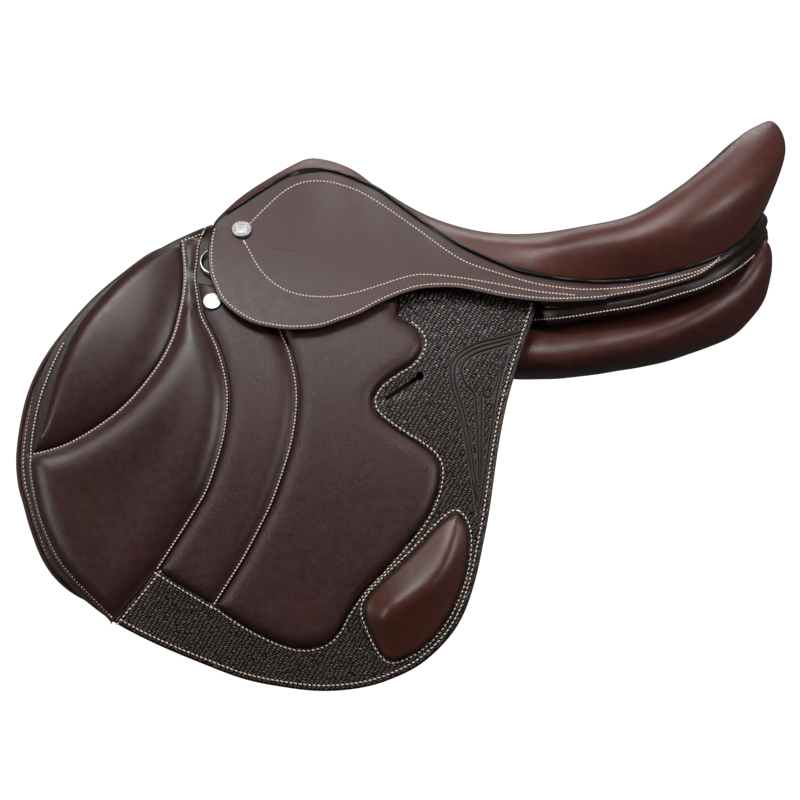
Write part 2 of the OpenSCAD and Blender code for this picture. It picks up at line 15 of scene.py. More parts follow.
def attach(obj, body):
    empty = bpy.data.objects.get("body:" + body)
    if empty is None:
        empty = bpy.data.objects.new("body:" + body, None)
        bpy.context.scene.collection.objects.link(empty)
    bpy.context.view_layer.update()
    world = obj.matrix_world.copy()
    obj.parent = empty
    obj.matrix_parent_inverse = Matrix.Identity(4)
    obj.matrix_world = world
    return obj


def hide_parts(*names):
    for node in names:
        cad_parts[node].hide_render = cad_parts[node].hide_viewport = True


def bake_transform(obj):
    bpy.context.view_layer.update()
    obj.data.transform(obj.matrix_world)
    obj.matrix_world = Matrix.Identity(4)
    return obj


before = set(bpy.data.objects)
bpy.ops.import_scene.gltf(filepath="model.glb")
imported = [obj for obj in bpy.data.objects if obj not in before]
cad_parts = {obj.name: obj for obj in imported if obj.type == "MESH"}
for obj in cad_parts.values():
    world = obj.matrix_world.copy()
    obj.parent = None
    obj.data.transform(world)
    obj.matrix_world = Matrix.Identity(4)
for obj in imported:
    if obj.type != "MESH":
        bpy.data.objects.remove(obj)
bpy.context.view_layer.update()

SIDES = {"left": -1, "right": 1}
MM = 0.001


# ---------- Camera and light ----------
AIM = (-0.08, 0, 0)


def area_light(name, place, size, power):
    data = bpy.data.lights.new(name, "AREA")
    data.shape = "RECTANGLE"
    data.size, data.size_y = size
    data.energy = power
    lamp = bpy.data.objects.new(name, data)
    lamp.location = place
    lamp.rotation_euler = (Vector(AIM) - Vector(place)).to_track_quat("-Z", "Y").to_euler()
    bpy.context.collection.objects.link(lamp)


camera_data = bpy.data.cameras.new("camera")
camera_data.sensor_width = 36
camera_data.lens = 177.3
camera_data.clip_end = 60
camera = bpy.data.objects.new("camera", camera_data)
camera.location = (-0.085, -3.2, -0.017)
camera.rotation_euler = (math.radians(90), 0, 0)
bpy.context.collection.objects.link(camera)
bpy.context.scene.camera = camera
bpy.context.scene.view_settings.view_transform = "Standard"

area_light("key", (-0.9, -1.6, 2.45), (1.4, 0.9), 64)
area_light("top", (0.3, -0.3, 2.3), (1.6, 1.0), 12)
area_light("left", (-2.6, -1.7, 0.5), (0.5, 1.6), 26)
area_light("right", (2.1, -1.9, 1.1), (1.1, 1.4), 44)
area_light("back", (0.3, 2.1, 2.5), (2.2, 1.4), 28)

world = bpy.data.worlds.new("world")
bpy.context.scene.world = world
world.use_nodes = True
world.node_tree.nodes["Background"].inputs["Color"].default_value = (1, 1, 1, 1)
world.node_tree.nodes["Background"].inputs["Strength"].default_value = 0.07


# ---------- Materials ----------
def new_material(name):
    mat = bpy.data.materials.new(name)
    mat.use_nodes = True
    tree = mat.node_tree
    return mat, tree, tree.nodes["Principled BSDF"]


def node(tree, kind, **inputs):
    n = tree.nodes.new(kind)
    for key, value in inputs.items():
        n.inputs[key.replace("_", " ")].default_value = value
    return n


def object_coords(tree, scale=(1, 1, 1), turn=(0, 0, 0)):
    mapping = tree.nodes.new("ShaderNodeMapping")
    mapping.inputs["Scale"].default_value = scale
    mapping.inputs["Rotation"].default_value = turn
    coord = tree.nodes.new("ShaderNodeTexCoord")
    tree.links.new(coord.outputs["Object"], mapping.inputs["Vector"])
    return mapping.outputs["Vector"]


def ramp(tree, source, stops):
    n = tree.nodes.new("ShaderNodeValToRGB")
    while len(n.color_ramp.elements) < len(stops):
        n.color_ramp.elements.new(0.5)
    for e, (at, colour) in zip(n.color_ramp.elements, stops):
        e.position = at
        e.color = (*colour, 1) if len(colour) == 3 else (colour[0],) * 3 + (1,)
    tree.links.new(source, n.inputs["Fac"])
    return n.outputs["Color"]


def remap(tree, source, low, high, at=(0, 1)):
    n = tree.nodes.new("ShaderNodeMapRange")
    n.inputs["From Min"].default_value, n.inputs["From Max"].default_value = at
    n.inputs["To Min"].default_value, n.inputs["To Max"].default_value = low, high
    tree.links.new(source, n.inputs["Value"])
    return n.outputs["Result"]


def bumps(tree, bsdf, layers):
    """Chains height sources, each (socket, strength, distance in mm)."""
    normal = None
    for socket, strength, distance in layers:
        b = tree.nodes.new("ShaderNodeBump")
        b.inputs["Strength"].default_value = strength
        b.inputs["Distance"].default_value = distance * MM
        tree.links.new(socket, b.inputs["Height"])
        if normal is not None:
            tree.links.new(normal, b.inputs["Normal"])
        normal = b.outputs["Normal"]
    tree.links.new(normal, bsdf.inputs["Normal"])


def tint(colour, k):
    return tuple(min(c * k, 1) for c in colour)


def leather(name, colour, rough=(0.36, 0.5), grain=0.35, cell=1100, coat=0.06):
    """Finished leather: soft mottling, pores and a fine cell grain."""
    mat, tree, bsdf = new_material(name)
    co = object_coords(tree)
    patch = node(tree, "ShaderNodeTexNoise", Scale=14.0, Detail=4.0, Roughness=0.55)
    cells = node(tree, "ShaderNodeTexVoronoi", Scale=float(cell))
    cells.feature = "DISTANCE_TO_EDGE"
    pores = node(tree, "ShaderNodeTexNoise", Scale=2600.0, Detail=2.0, Roughness=0.6)
    wave = node(tree, "ShaderNodeTexNoise", Scale=160.0, Detail=3.0, Roughness=0.6)
    for n in (patch, cells, pores, wave):
        tree.links.new(co, n.inputs["Vector"])
    base = ramp(tree, patch.outputs["Fac"],
                [(0.3, tint(colour, 0.88)), (0.5, colour), (0.72, tint(colour, 1.12))])
    speck = ramp(tree, wave.outputs["Fac"], [(0.3, (0.84, 0.84, 0.84)), (0.65, (1.06, 1.06, 1.06))])
    mix = tree.nodes.new("ShaderNodeMix")
    mix.data_type = "RGBA"
    mix.blend_type = "MULTIPLY"
    mix.inputs["Factor"].default_value = 0.7
    tree.links.new(base, mix.inputs["A"])
    tree.links.new(speck, mix.inputs["B"])
    tree.links.new(mix.outputs["Result"], bsdf.inputs["Base Color"])
    tree.links.new(remap(tree, wave.outputs["Fac"], rough[0], rough[1], (0.3, 0.7)), bsdf.inputs["Roughness"])
    bsdf.inputs["Specular IOR Level"].default_value = 0.38
    bsdf.inputs["Coat Weight"].default_value = coat
    bsdf.inputs["Coat Roughness"].default_value = 0.42
    edge = remap(tree, cells.outputs["Distance"], 0, 1, (0, 0.22))
    bumps(tree, bsdf, [(wave.outputs["Fac"], grain * 0.5, 0.5), (edge, grain, 0.12),
                       (pores.outputs["Fac"], grain * 0.5, 0.08)])
    return mat


def embossed(name, colour, high):
    """Near-black leather pressed with short slanted dashes, with painted shade in their pits and a painted
    highlight colour on their raised tops.
    """
    mat, tree, bsdf = new_material(name)
    turned = tree.nodes.new("ShaderNodeMapping")
    turned.inputs["Scale"].default_value = (1 / 0.0032, 0, 1 / 0.0018)
    tree.links.new(object_coords(tree, turn=(0, math.radians(-30), 0)), turned.inputs["Vector"])
    co = turned.outputs["Vector"]
    cells = node(tree, "ShaderNodeTexVoronoi", Scale=1.0, Randomness=0.4)
    cells.feature = "DISTANCE_TO_EDGE"
    tree.links.new(co, cells.inputs["Vector"])
    dash = remap(tree, cells.outputs["Distance"], 0, 1, (0.05, 0.32))
    fine = node(tree, "ShaderNodeTexNoise", Scale=3.0, Detail=2.0)
    tree.links.new(co, fine.inputs["Vector"])
    # Base colour: painted shade darkens the pits to 0.15 of the colour, and the raised tops take the painted
    # highlight colour high
    tree.links.new(ramp(tree, dash, [(0.0, tint(colour, 0.15)), (0.4, colour), (1.0, high)]),
                   bsdf.inputs["Base Color"])
    tree.links.new(remap(tree, dash, 0.05, 1.0), bsdf.inputs["Specular IOR Level"])
    tree.links.new(remap(tree, fine.outputs["Fac"], 0.28, 0.46, (0.3, 0.7)), bsdf.inputs["Roughness"])
    bsdf.inputs["Coat Weight"].default_value = 0.06
    bsdf.inputs["Coat Roughness"].default_value = 0.3
    bumps(tree, bsdf, [(dash, 1.0, 0.55), (fine.outputs["Fac"], 0.3, 0.12)])
    return mat


def plain(name, colour, rough, metal=0.0, scale=900.0, bump=0.1, spread=0.08, coat=0.0, stretch=(1, 1, 1)):
    """Metal, thread, wood, paint or webbing: a base colour broken up by a noise of the right scale."""
    mat, tree, bsdf = new_material(name)
    co = object_coords(tree, scale=stretch)
    noise = node(tree, "ShaderNodeTexNoise", Scale=scale, Detail=4.0, Roughness=0.6)
    tree.links.new(co, noise.inputs["Vector"])
    tree.links.new(ramp(tree, noise.outputs["Fac"],
                        [(0.3, tint(colour, 1 - 2 * spread)), (0.7, tint(colour, 1 + spread))]),
                   bsdf.inputs["Base Color"])
    tree.links.new(remap(tree, noise.outputs["Fac"], rough * 0.8, rough * 1.25, (0.3, 0.7)),
                   bsdf.inputs["Roughness"])
    bsdf.inputs["Metallic"].default_value = metal
    bsdf.inputs["Coat Weight"].default_value = coat
    bumps(tree, bsdf, [(noise.outputs["Fac"], bump, 0.1)])
    return mat


def woven(name, colour, pitch=0.0016):
    """Webbing: crossed waves of warp and weft."""
    mat, tree, bsdf = new_material(name)
    waves = []
    for turn in (0.0, math.radians(90)):
        w = node(tree, "ShaderNodeTexWave", Scale=1 / pitch / 3.2)
        tree.links.new(object_coords(tree, turn=(0, 0, turn)), w.inputs["Vector"])
        waves.append(w)
    both = tree.nodes.new("ShaderNodeMath")
    both.operation = "MULTIPLY"
    for i, w in enumerate(waves):
        tree.links.new(w.outputs["Fac"], both.inputs[i])
    tree.links.new(ramp(tree, both.outputs["Value"], [(0.0, tint(colour, 0.6)), (1.0, tint(colour, 1.1))]),
                   bsdf.inputs["Base Color"])
    bsdf.inputs["Roughness"].default_value = 0.85
    bumps(tree, bsdf, [(both.outputs["Value"], 0.6, 0.3)])
    return mat


M = {
    "seat": leather("seat_leather", (0.080, 0.021, 0.015), rough=(0.33, 0.46), grain=0.2, coat=0.1),
    "panel": leather("panel_leather", (0.060, 0.017, 0.013), rough=(0.33, 0.46), grain=0.18),
    "skirt": leather("skirt_leather", (0.044, 0.0155, 0.0145), rough=(0.36, 0.48), grain=0.22),
    "pad": leather("pad_leather", (0.033, 0.0108, 0.0098), rough=(0.31, 0.41), grain=0.22),
    "main": leather("main_pad_leather", (0.036, 0.0112, 0.0100), rough=(0.33, 0.44), grain=0.6, cell=800),
    "flap": leather("flap_leather", (0.024, 0.009, 0.008), rough=(0.4, 0.52), grain=0.25),
    "block": leather("block_leather", (0.062, 0.016, 0.009), rough=(0.34, 0.4), grain=0.05, coat=0.1),
    # Facing: colour set far darker than the panel leather, as painted shade for the shadow it lies in under
    # the skirt's edge
    "facing": leather("facing_leather_painted_shade", (0.014, 0.0046, 0.0038), rough=(0.36, 0.48), grain=0.18),
    "sweat": leather("sweat_leather", (0.050, 0.016, 0.012), rough=(0.4, 0.55), grain=0.25),
    "strap": leather("strap_leather", (0.034, 0.013, 0.010), rough=(0.38, 0.5), grain=0.3),
    # The trim's second colour is the painted highlight on the raised tops of the dashes
    "trim": embossed("grained_trim", (0.014, 0.007, 0.006), (0.085, 0.058, 0.053)),
    # Near-black edge paint, also used as painted shade in the centres of the trim's pressed grooves
    "edge": plain("edge_paint_and_groove_shade", (0.006, 0.005, 0.005), 0.4, bump=0.25, scale=600.0, coat=0.1),
    "piping": leather("black_piping", (0.010, 0.006, 0.005), rough=(0.35, 0.48), grain=0.15),
    "thread": plain("thread", (0.90, 0.72, 0.58), 0.75, scale=2500.0, bump=0.5, spread=0.15),
    "chrome": plain("chrome_trim", (0.36, 0.36, 0.36), 0.32, metal=1.0, bump=0.1, scale=900.0),
    "bar": plain("bar_steel", (0.52, 0.52, 0.53), 0.3, metal=1.0, bump=0.12, stretch=(0.1, 1, 1)),
    "tree_steel": plain("tree_steel", (0.34, 0.34, 0.35), 0.42, metal=1.0, bump=0.15, stretch=(0.1, 1, 1)),
    "wood": plain("tree_wood", (0.17, 0.095, 0.05), 0.5, scale=160.0, spread=0.2, bump=0.3,
                  stretch=(0.12, 1, 1)),
    "web": woven("webbing", (0.50, 0.42, 0.30)),
    "foam": plain("foam", (0.42, 0.35, 0.25), 0.95, scale=1200.0, bump=0.8, spread=0.12),
}


# ---------- Plane curves ----------
def smooth_between(a, b, c, d, t):
    """Catmull-Rom point between b and c."""
    return 0.5 * (2 * b + (c - a) * t + (2 * a - 5 * b + 4 * c - d) * t ** 2
                  + (3 * b - a - 3 * c + d) * t ** 3)


def curve(points, step=2.5, closed=False, dense=12):
    """Smooth curve through points, at even steps."""
    p = np.array(points, float)
    if closed:
        ext, segments = np.vstack([p[-1:], p, p[:2]]), len(p)
    else:
        ext, segments = np.vstack([2 * p[0] - p[1], p, 2 * p[-1] - p[-2]]), len(p) - 1
    t = np.linspace(0, 1, dense, endpoint=False)[:, None]
    out = []
    for i in range(segments):
        out.append(smooth_between(*ext[i:i + 4], t))
    out.append(p[:1] if closed else p[-1:])
    q = np.vstack(out)
    s = np.r_[0, np.cumsum(np.linalg.norm(np.diff(q, axis=0), axis=1))]
    u = np.linspace(0, s[-1], max(2, round(s[-1] / step)) + 1)
    r = np.stack([np.interp(u, s, q[:, k]) for k in range(q.shape[1])], 1)
    return r[:-1] if closed else r


def join(*parts):
    """One loop from curves that meet end to end."""
    out = [parts[0]]
    for p in parts[1:]:
        out.append(p[1:] if np.linalg.norm(p[0] - out[-1][-1]) < 0.5 else p)
    loop = np.vstack(out)
    return loop[:-1] if np.linalg.norm(loop[0] - loop[-1]) < 0.5 else loop


def away(points, line):
    """Distance of each point from a polyline."""
    a, ab = line[:-1], np.diff(line, axis=0)
    size = np.maximum((ab ** 2).sum(1), 1e-9)
    best = np.full(len(points), 1e9)
    for i in range(0, len(points), 1500):
        q = points[i:i + 1500, None, :] - a[None]
        t = np.clip((q * ab).sum(2) / size, 0, 1)
        best[i:i + 1500] = np.linalg.norm(q - t[..., None] * ab, axis=2).min(1)
    return best


def inside(points, loop):
    x, z = points[:, 0, None], points[:, 1, None]
    a, b = loop, np.roll(loop, -1, 0)
    span = (a[:, 1] > z) != (b[:, 1] > z)
    cross = (b[:, 0] - a[:, 0]) * (z - a[:, 1]) / (b[:, 1] - a[:, 1] + 1e-12) + a[:, 0]
    return ((x < cross) & span).sum(1) % 2 == 1


def offset(line, d):
    """Line moved sideways, to the left of its direction for d above 0."""
    t = np.gradient(line, axis=0)
    n = np.stack([-t[:, 1], t[:, 0]], 1)
    return line + d * n / np.maximum(np.linalg.norm(n, axis=1)[:, None], 1e-9)


def closed(loop):
    return np.vstack([loop, loop[:1]])


RINGS = (0.5, 1.3, 2.4, 3.8, 5.8, 8.5)


def fill_plane(loop, holes=(), extra=(), grid=4.0, rings=RINGS):
    """Points and triangles that fill a loop, finer along its edges."""
    loops = [loop, *holes]
    lines = [closed(l) for l in loops]
    found = [np.vstack(loops)]

    def keep(q, clear):
        ok = inside(q, loop)
        for h in holes:
            ok &= ~inside(q, h)
        q = q[ok]
        d = np.min([away(q, l) for l in lines], axis=0) if len(q) else np.zeros(0)
        return q[d >= clear]

    for r in rings:
        for l in lines:
            for s in (r, -r):
                t = np.roll(l[:-1], -1, 0) - np.roll(l[:-1], 1, 0)
                n = np.stack([-t[:, 1], t[:, 0]], 1)
                n /= np.maximum(np.linalg.norm(n, axis=1)[:, None], 1e-9)
                found.append(keep(l[:-1] + s * n, r * 0.93))
    for e in extra:
        found.append(keep(e, 0.3))
    lo, hi = loop.min(0), loop.max(0)
    rows = []
    for i, z in enumerate(np.arange(lo[1], hi[1], grid * 0.866)):
        x = np.arange(lo[0] + (i % 2) * grid / 2, hi[0], grid)
        rows.append(np.stack([x, np.full(len(x), z)], 1))
    q = keep(np.vstack(rows), rings[-1] + grid * 0.5)
    for e in extra:
        q = q[away(q, e) > 1.5] if len(e) > 1 else q
    found.append(q)
    points = np.vstack(found)
    edges, start = [], 0
    for l in loops:
        edges += [(start + i, start + (i + 1) % len(l)) for i in range(len(l))]
        start += len(l)
    v, _, faces, *_ = geometry.delaunay_2d_cdt([Vector(p) for p in points], edges, [], 0, 1e-4)
    v = np.array([tuple(p) for p in v])
    f = np.array([tuple(t) for t in faces if len(t) == 3])
    middle = v[f].mean(1)
    ok = inside(middle, loop)
    for h in holes:
        ok &= ~inside(middle, h)
    f = f[ok]
    used = np.unique(f)
    index = np.full(len(v), -1)
    index[used] = np.arange(len(used))
    v, f = v[used], index[f]
    a, b, c = v[f[:, 0]], v[f[:, 1]], v[f[:, 2]]
    turn = (b[:, 0] - a[:, 0]) * (c[:, 1] - a[:, 1]) - (b[:, 1] - a[:, 1]) * (c[:, 0] - a[:, 0])
    f[turn > 0] = f[turn > 0][:, ::-1]
    return v, f, np.min([away(v, l) for l in lines], axis=0)


# ---------- Building objects ----------
def build(name, verts, faces, mats, body, side=1, chosen=None, smooth=45, slot=None, replaces=(), blend=None):
    """Mesh object from points in mm, on a CAD body, or unparented in world space when blend is given. side -1
    mirrors it to the left.
    """
    v = np.array(verts, float) * MM
    if side < 0:
        v[:, 1] *= -1
        faces = [tuple(reversed(f)) for f in faces]
    mesh = bpy.data.meshes.new(name)
    mesh.from_pydata(v.tolist(), [], [tuple(int(i) for i in f) for f in faces])
    for m in mats:
        mesh.materials.append(M[m])
    if chosen is not None:
        mesh.polygons.foreach_set("material_index", np.asarray(chosen, np.int32))
    mesh.polygons.foreach_set("use_smooth", np.ones(len(faces), bool))
    mesh.update()
    mesh.set_sharp_from_angle(angle=math.radians(smooth))
    obj = bpy.data.objects.new(name, mesh)
    bpy.context.collection.objects.link(obj)
    if blend:
        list(blend)
        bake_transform(obj)
    else:
        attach(obj, body)
    if replaces:
        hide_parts(*replaces)
    return obj


def links(v, f):
    """Cotangent weights between neighbouring points, so that smoothing leaves even slopes alone."""
    first, second, weight = [], [], []
    for k in range(3):
        a, b, c = f[:, k], f[:, (k + 1) % 3], f[:, (k + 2) % 3]
        p, q = v[a] - v[c], v[b] - v[c]
        cot = (p * q).sum(1) / np.maximum(np.abs(p[:, 0] * q[:, 1] - p[:, 1] * q[:, 0]), 1e-6)
        cot = np.clip(cot, 0.02, 20)
        first += [a, b]
        second += [b, a]
        weight += [cot, cot]
    return np.concatenate(first), np.concatenate(second), np.concatenate(weight)


def spread(h, net):
    """Weighted mean over each point's neighbours."""
    first, second, weight = net
    return np.bincount(first, weight * h[second], len(h)) / np.bincount(first, weight, len(h))


def plate(name, loop, top, bottom, mats, body, side, holes=(), extra=(), grid=4.0, rings=RINGS,
          edge=0.4, relax=0, pins=None, **more):
    """Closed sheet over a loop in the XZ plane, between the heights bottom and top, with a painted edge."""
    v, f, d = fill_plane(loop, holes, extra, grid, rings)
    n = len(v)
    y1, y0 = top(v[:, 0], v[:, 1], d), bottom(v[:, 0], v[:, 1])
    h = y1 - y0
    fixed = d <= 2.0
    net = links(v, f)
    if pins:
        held = fixed | pins(v)
        for _ in range(500):
            h = np.where(held, h, spread(h, net))
    for _ in range(relax):
        h = np.where(fixed, h, 0.5 * h + 0.5 * spread(h, net))
    y1 = y0 + h
    verts = np.vstack([np.stack([v[:, 0], y1, v[:, 1]], 1), np.stack([v[:, 0], y0, v[:, 1]], 1)])
    sides = np.vstack([f[:, [0, 1]], f[:, [1, 2]], f[:, [2, 0]]])
    have = {tuple(e) for e in sides}
    rim = [(a, b) for a, b in have if (b, a) not in have]
    faces = [tuple(t) for t in f] + [tuple(t[::-1] + n) for t in f]
    faces += [(b, a, a + n, b + n) for a, b in sorted(rim)]
    border = (d[f].max(1) < edge).astype(int)
    chosen = np.r_[border, np.zeros(len(f), int), np.ones(len(rim), int)] if len(mats) > 1 else None
    return build(name, verts, faces, mats, body, side, chosen, **more)


def ring_faces(rings, k):
    """Faces of a closed tube through rings of k points each."""
    faces = [(i * k + j, i * k + (j + 1) % k, (i + 1) * k + (j + 1) % k, (i + 1) * k + j)
             for i in range(rings - 1) for j in range(k)]
    return faces + [tuple(reversed(range(k))), tuple((rings - 1) * k + j for j in range(k))]


def tube(path, r, k=8):
    """Points and faces of a round tube along a path."""
    p = np.array(path, float)
    r = np.broadcast_to(r, len(p))
    t = np.gradient(p, axis=0)
    t /= np.linalg.norm(t, axis=1)[:, None]
    ref = np.array([0, 0, 1.0]) if abs(t[0][2]) < 0.9 else np.array([1.0, 0, 0])
    verts, up = [], np.cross(np.cross(t[0], ref), t[0])
    for i in range(len(p)):
        up = up - t[i] * (up @ t[i])
        up /= np.linalg.norm(up)
        w = np.cross(t[i], up)
        a = np.arange(k) * 2 * math.pi / k
        verts.append(p[i] + r[i] * (np.cos(a)[:, None] * up + np.sin(a)[:, None] * w))
    return np.vstack(verts), ring_faces(len(p), k)


def gather(parts):
    """Joins (verts, faces) pairs into one."""
    verts, faces, start = [], [], 0
    for v, f in parts:
        verts.append(np.asarray(v))
        faces += [tuple(i + start for i in g) for g in f]
        start += len(v)
    return np.vstack(verts), faces


STITCH = [(-1.0, 0.0), (-0.8, 0.75), (-0.3, 1.0), (0.3, 1.0), (0.8, 0.75), (1.0, 0.0)]


def stitches(line, height, pitch=2.7, length=2.0, r=0.58, slant=0.16, lift=0.25):
    """Row of thread stitches on the surface y = height(x, z), along a line in the XZ plane."""
    p = curve(line, pitch, dense=8) if len(line) < 400 else line
    t = np.gradient(p, axis=0)
    t /= np.linalg.norm(t, axis=1)[:, None]
    x, z = p[:, 0], p[:, 1]
    y = height(x, z)
    dx, dz = (height(x + 0.4, z) - y) / 0.4, (height(x, z + 0.4) - y) / 0.4
    k = 6
    a = np.arange(k) * 2 * math.pi / k
    verts, faces = [], []
    for i in range(len(p)):
        n = np.array([-dx[i], 1.0, -dz[i]])
        n /= np.linalg.norm(n)
        d = np.array([t[i, 0], dx[i] * t[i, 0] + dz[i] * t[i, 1], t[i, 1]])
        d /= np.linalg.norm(d)
        w = np.cross(n, d)
        d = d * math.cos(slant) + w * math.sin(slant)
        w = np.cross(n, d)
        centre = np.array([x[i], y[i], z[i]]) + n * lift
        start = sum(len(q) for q in verts)
        for s, q in STITCH:
            ring = centre + d * s * length / 2 - n * (0.35 * abs(s) ** 3)
            if q == 0:
                verts.append(ring[None])
            else:
                verts.append(ring + r * q * (np.cos(a)[:, None] * n + np.sin(a)[:, None] * w))
        first, last = start, start + 1 + 4 * k
        for j in range(k):
            m = (j + 1) % k
            faces.append((first, start + 1 + m, start + 1 + j))
            for g in range(3):
                b = start + 1 + g * k
                faces.append((b + j, b + m, b + m + k, b + j + k))
            faces.append((last, start + 1 + 3 * k + j, start + 1 + 3 * k + m))
    return np.vstack(verts), faces


# ---------- The frame's hinge line and the curved side ----------
def hinge_z(x):
    return 110 - 0.1375 * (x + 239)


def hinge_y(x):
    return 98 + 0.055 * (x + 160)


def side_y(x, z, off=0.0):
    d = np.maximum(hinge_z(x) - z, 0)
    return (hinge_y(x) - 18 + 110 * (1 - np.exp(-d / 150))
            - 0.0002 * (x + 150) ** 2 * (1 - np.exp(-d / 60)) + off)


def sweat_y(x, z, off=0.0):
    d = np.maximum(hinge_z(x) - z, 0)
    return side_y(x, z, -14 + off - 10 * (1 - np.exp(-d / 60)))


AXIS = Vector((1, 0.055, -0.1375)).normalized()


def hinge_zone(side, width=14.0):
    """Start and end points of a blend that reaches 1 on the hinge line."""
    down = Vector((AXIS.z, 0, -AXIS.x)).normalized()
    end = Vector((-160, hinge_y(-160) * side, hinge_z(-160)))
    return tuple((end - down * width) * MM), tuple(end * MM)


def rise(t):
    """Quarter round from 0 to 1."""
    t = np.clip(t, 0, 1)
    return np.sqrt(np.maximum(1 - (1 - t) ** 2, 0))


def soft(t):
    t = np.clip(t, 0, 1)
    return t * t * (3 - 2 * t)


def ripple(x, z, size, seed):
    """Smooth unevenness of stuffed leather, the same each run."""
    s = 0
    for i, (f, g) in enumerate(((1.0, 0.7), (0.6, -1.1), (-0.8, 1.3), (1.7, 0.9))):
        s = s + np.sin((x * f + z * g) / size + seed + i * 1.7) / (i + 1)
    return s / 2


# Heights over the curved side: the flap's face, the foot of the pads and the face of their welted borders
FLAP_T = 4.0
BASE = 4.1
BORDER = 5.5

# Outline of the flap: front edge from the top, round the bottom and up the rear
FLAP_EDGE = curve([(-234, 122), (-247, 117), (-264, 109), (-284, 97), (-304, 82), (-324, 64), (-340, 46),
                   (-354, 27), (-365, 4), (-372, -20), (-376, -46), (-376, -70), (-372, -94), (-365, -118),
                   (-354, -143), (-341, -160), (-325, -174), (-302, -190), (-272, -205), (-238, -219),
                   (-205, -231), (-175, -237), (-146, -240), (-118, -238), (-95, -232), (-70, -220),
                   (-49, -201), (-36, -181), (-27, -155), (-21, -128), (-16, -102), (-9, -55), (-2, -20),
                   (8, 14), (16, 37), (23, 58), (24, 66)])
FLAP_TOP = np.array([(24, 72), (-20, 78), (-60, 84), (-80, 86), (-97, 84), (-99, 60), (-125, 63),
                     (-165, 69), (-204, 74), (-207, 98), (-216, 112), (-224, 118), (-232, 121)], float)
FLAP_LOOP = join(FLAP_EDGE, curve(FLAP_TOP, 3.0, dense=2))

# Seams, each as the line of its stitches
KNEE_SEAM = curve([(-259, 108), (-257, 95), (-256, 85), (-256, 72), (-258, 56), (-262, 38), (-267, 25),
                   (-274, 12), (-284, -2), (-295, -15), (-308, -27), (-325, -39), (-343, -49), (-357, -54),
                   (-369, -57)])
SEAM_A = curve([(-240, 119), (-245, 106), (-246, 93), (-247, 80), (-245, 66), (-241, 48), (-234, 35),
                (-228, 22), (-223, 6), (-220, -10), (-220, -27), (-223, -48), (-228, -66), (-235, -86),
                (-244, -102), (-254, -118), (-263, -132), (-272, -146)])
SEAM_B = curve([(-184, 54), (-179, 36), (-173, 22), (-168, 3), (-166, -14), (-167, -32), (-170, -50),
                (-175, -68), (-184, -94), (-192, -111), (-205, -136), (-216, -154), (-228, -173)])
MAIN_EDGE = curve([(-86, 58), (-87, 48), (-76, 40), (-69, 32), (-69, 23), (-76, 13), (-90, 4), (-101, -5),
                   (-107, -15), (-105, -26), (-96, -35), (-83, -44), (-70, -52), (-59, -61), (-55, -72),
                   (-58, -90), (-67, -109), (-82, -128), (-98, -146), (-114, -163), (-126, -180),
                   (-133, -193), (-142, -202), (-157, -206), (-174, -203), (-200, -191), (-228, -173)])
MID_FOOT = curve([(-228, -173), (-250, -160), (-271, -147)])
FRONT_STITCH = curve([(-241, 115), (-262, 106), (-282, 92), (-302, 76), (-320, 58), (-336, 41), (-348, 27),
                      (-360, 0), (-367, -24), (-371, -50), (-371, -72), (-367, -94), (-361, -114),
                      (-350, -137), (-337, -154), (-322, -169), (-307, -184)])
TRIM_END = curve([(-272, -147), (-289, -168), (-305, -187)])

FRONT_TOP = curve([(-259, 108), (-252, 112), (-240, 119)])


def pad_height(parts, high, width, dish=0.0):
    """Height of a pad over its base. parts are (line, flat border) pairs round its outline."""
    def off(x, z):
        p = np.stack([x, z], 1)
        d = np.min([away(p, line) - border for line, border in parts], axis=0)
        h = high * rise(d / width)
        return np.where(d > 0, h - dish * soft((d - width) / 30) * high, 0)
    return off


def knee_height(x, z):
    """Long roll that climbs slowly from its seam and falls steeply along its front."""
    p = np.stack([x, z], 1)
    near = away(p, KNEE_SEAM)
    front = away(p, KNEE_FRONT)
    back = 9.5 * rise((near - 0.3) / 28) ** 1.15 + 4.5 * soft(near / 62)
    steep = 14.0 * rise((front - 0.4) / 10) ** 0.9
    blur = 1.3
    low = -blur * np.log(np.exp(-back / blur) + np.exp(-steep / blur))
    return low + blur * math.log(2) * np.exp(-np.minimum(back, steep) / 3)


KNEE_FRONT = curve([(-259, 106), (-270, 103), (-284, 96), (-302, 82), (-319, 64), (-334, 45), (-345, 24),
                    (-353, 0), (-358, -20), (-362, -38), (-369, -57)])
KNEE_LOOP = join(KNEE_FRONT, KNEE_SEAM[::-1])
FRONT_EDGE = offset(FRONT_STITCH, -3.2)
FRONT_FOOT = FRONT_EDGE[FRONT_EDGE[:, 1] < -57]
FRONT_LOOP = join(FRONT_TOP, offset(SEAM_A, 2.0)[2:],
                  curve([(-272, -148), (-289, -168), (-307, -189)], 2.5)[1:],
                  FRONT_FOOT[::-1], KNEE_SEAM[::-1][1:])
MID_LOOP = join(curve([(-243, 75), (-230, 72), (-212, 66), (-192, 58), (-182, 55)], 3.0),
                offset(SEAM_B, 2.0)[1:], MID_FOOT[1:-1], offset(SEAM_A, 2.9)[::-1][1:-18])
MAIN_LOOP = join(MAIN_EDGE, offset(SEAM_B, 2.9)[::-1][1:],
                 curve([(-181, 56), (-130, 60), (-88, 60)], 3.0)[1:])

CALF_EDGE = curve([(-41, -105), (-35, -113), (-33, -126), (-35, -145), (-40, -163), (-49, -182),
                   (-59, -196), (-71, -207), (-84, -214), (-93, -215), (-100, -208), (-108, -192),
                   (-112, -178), (-108, -168), (-95, -154), (-75, -135), (-57, -116), (-47, -107)],
                  closed=True)
CALF_RIDGE = curve([(-42, -110, 8), (-44, -124, 13), (-50, -142, 16.5), (-60, -156, 18.5),
                    (-76, -167, 19.5), (-96, -178, 19), (-97, -190, 14), (-92, -204, 8)], 1.6)


def ridge_gap(points):
    return np.linalg.norm(points[:, None] - CALF_RIDGE[None, :, :2], axis=2)


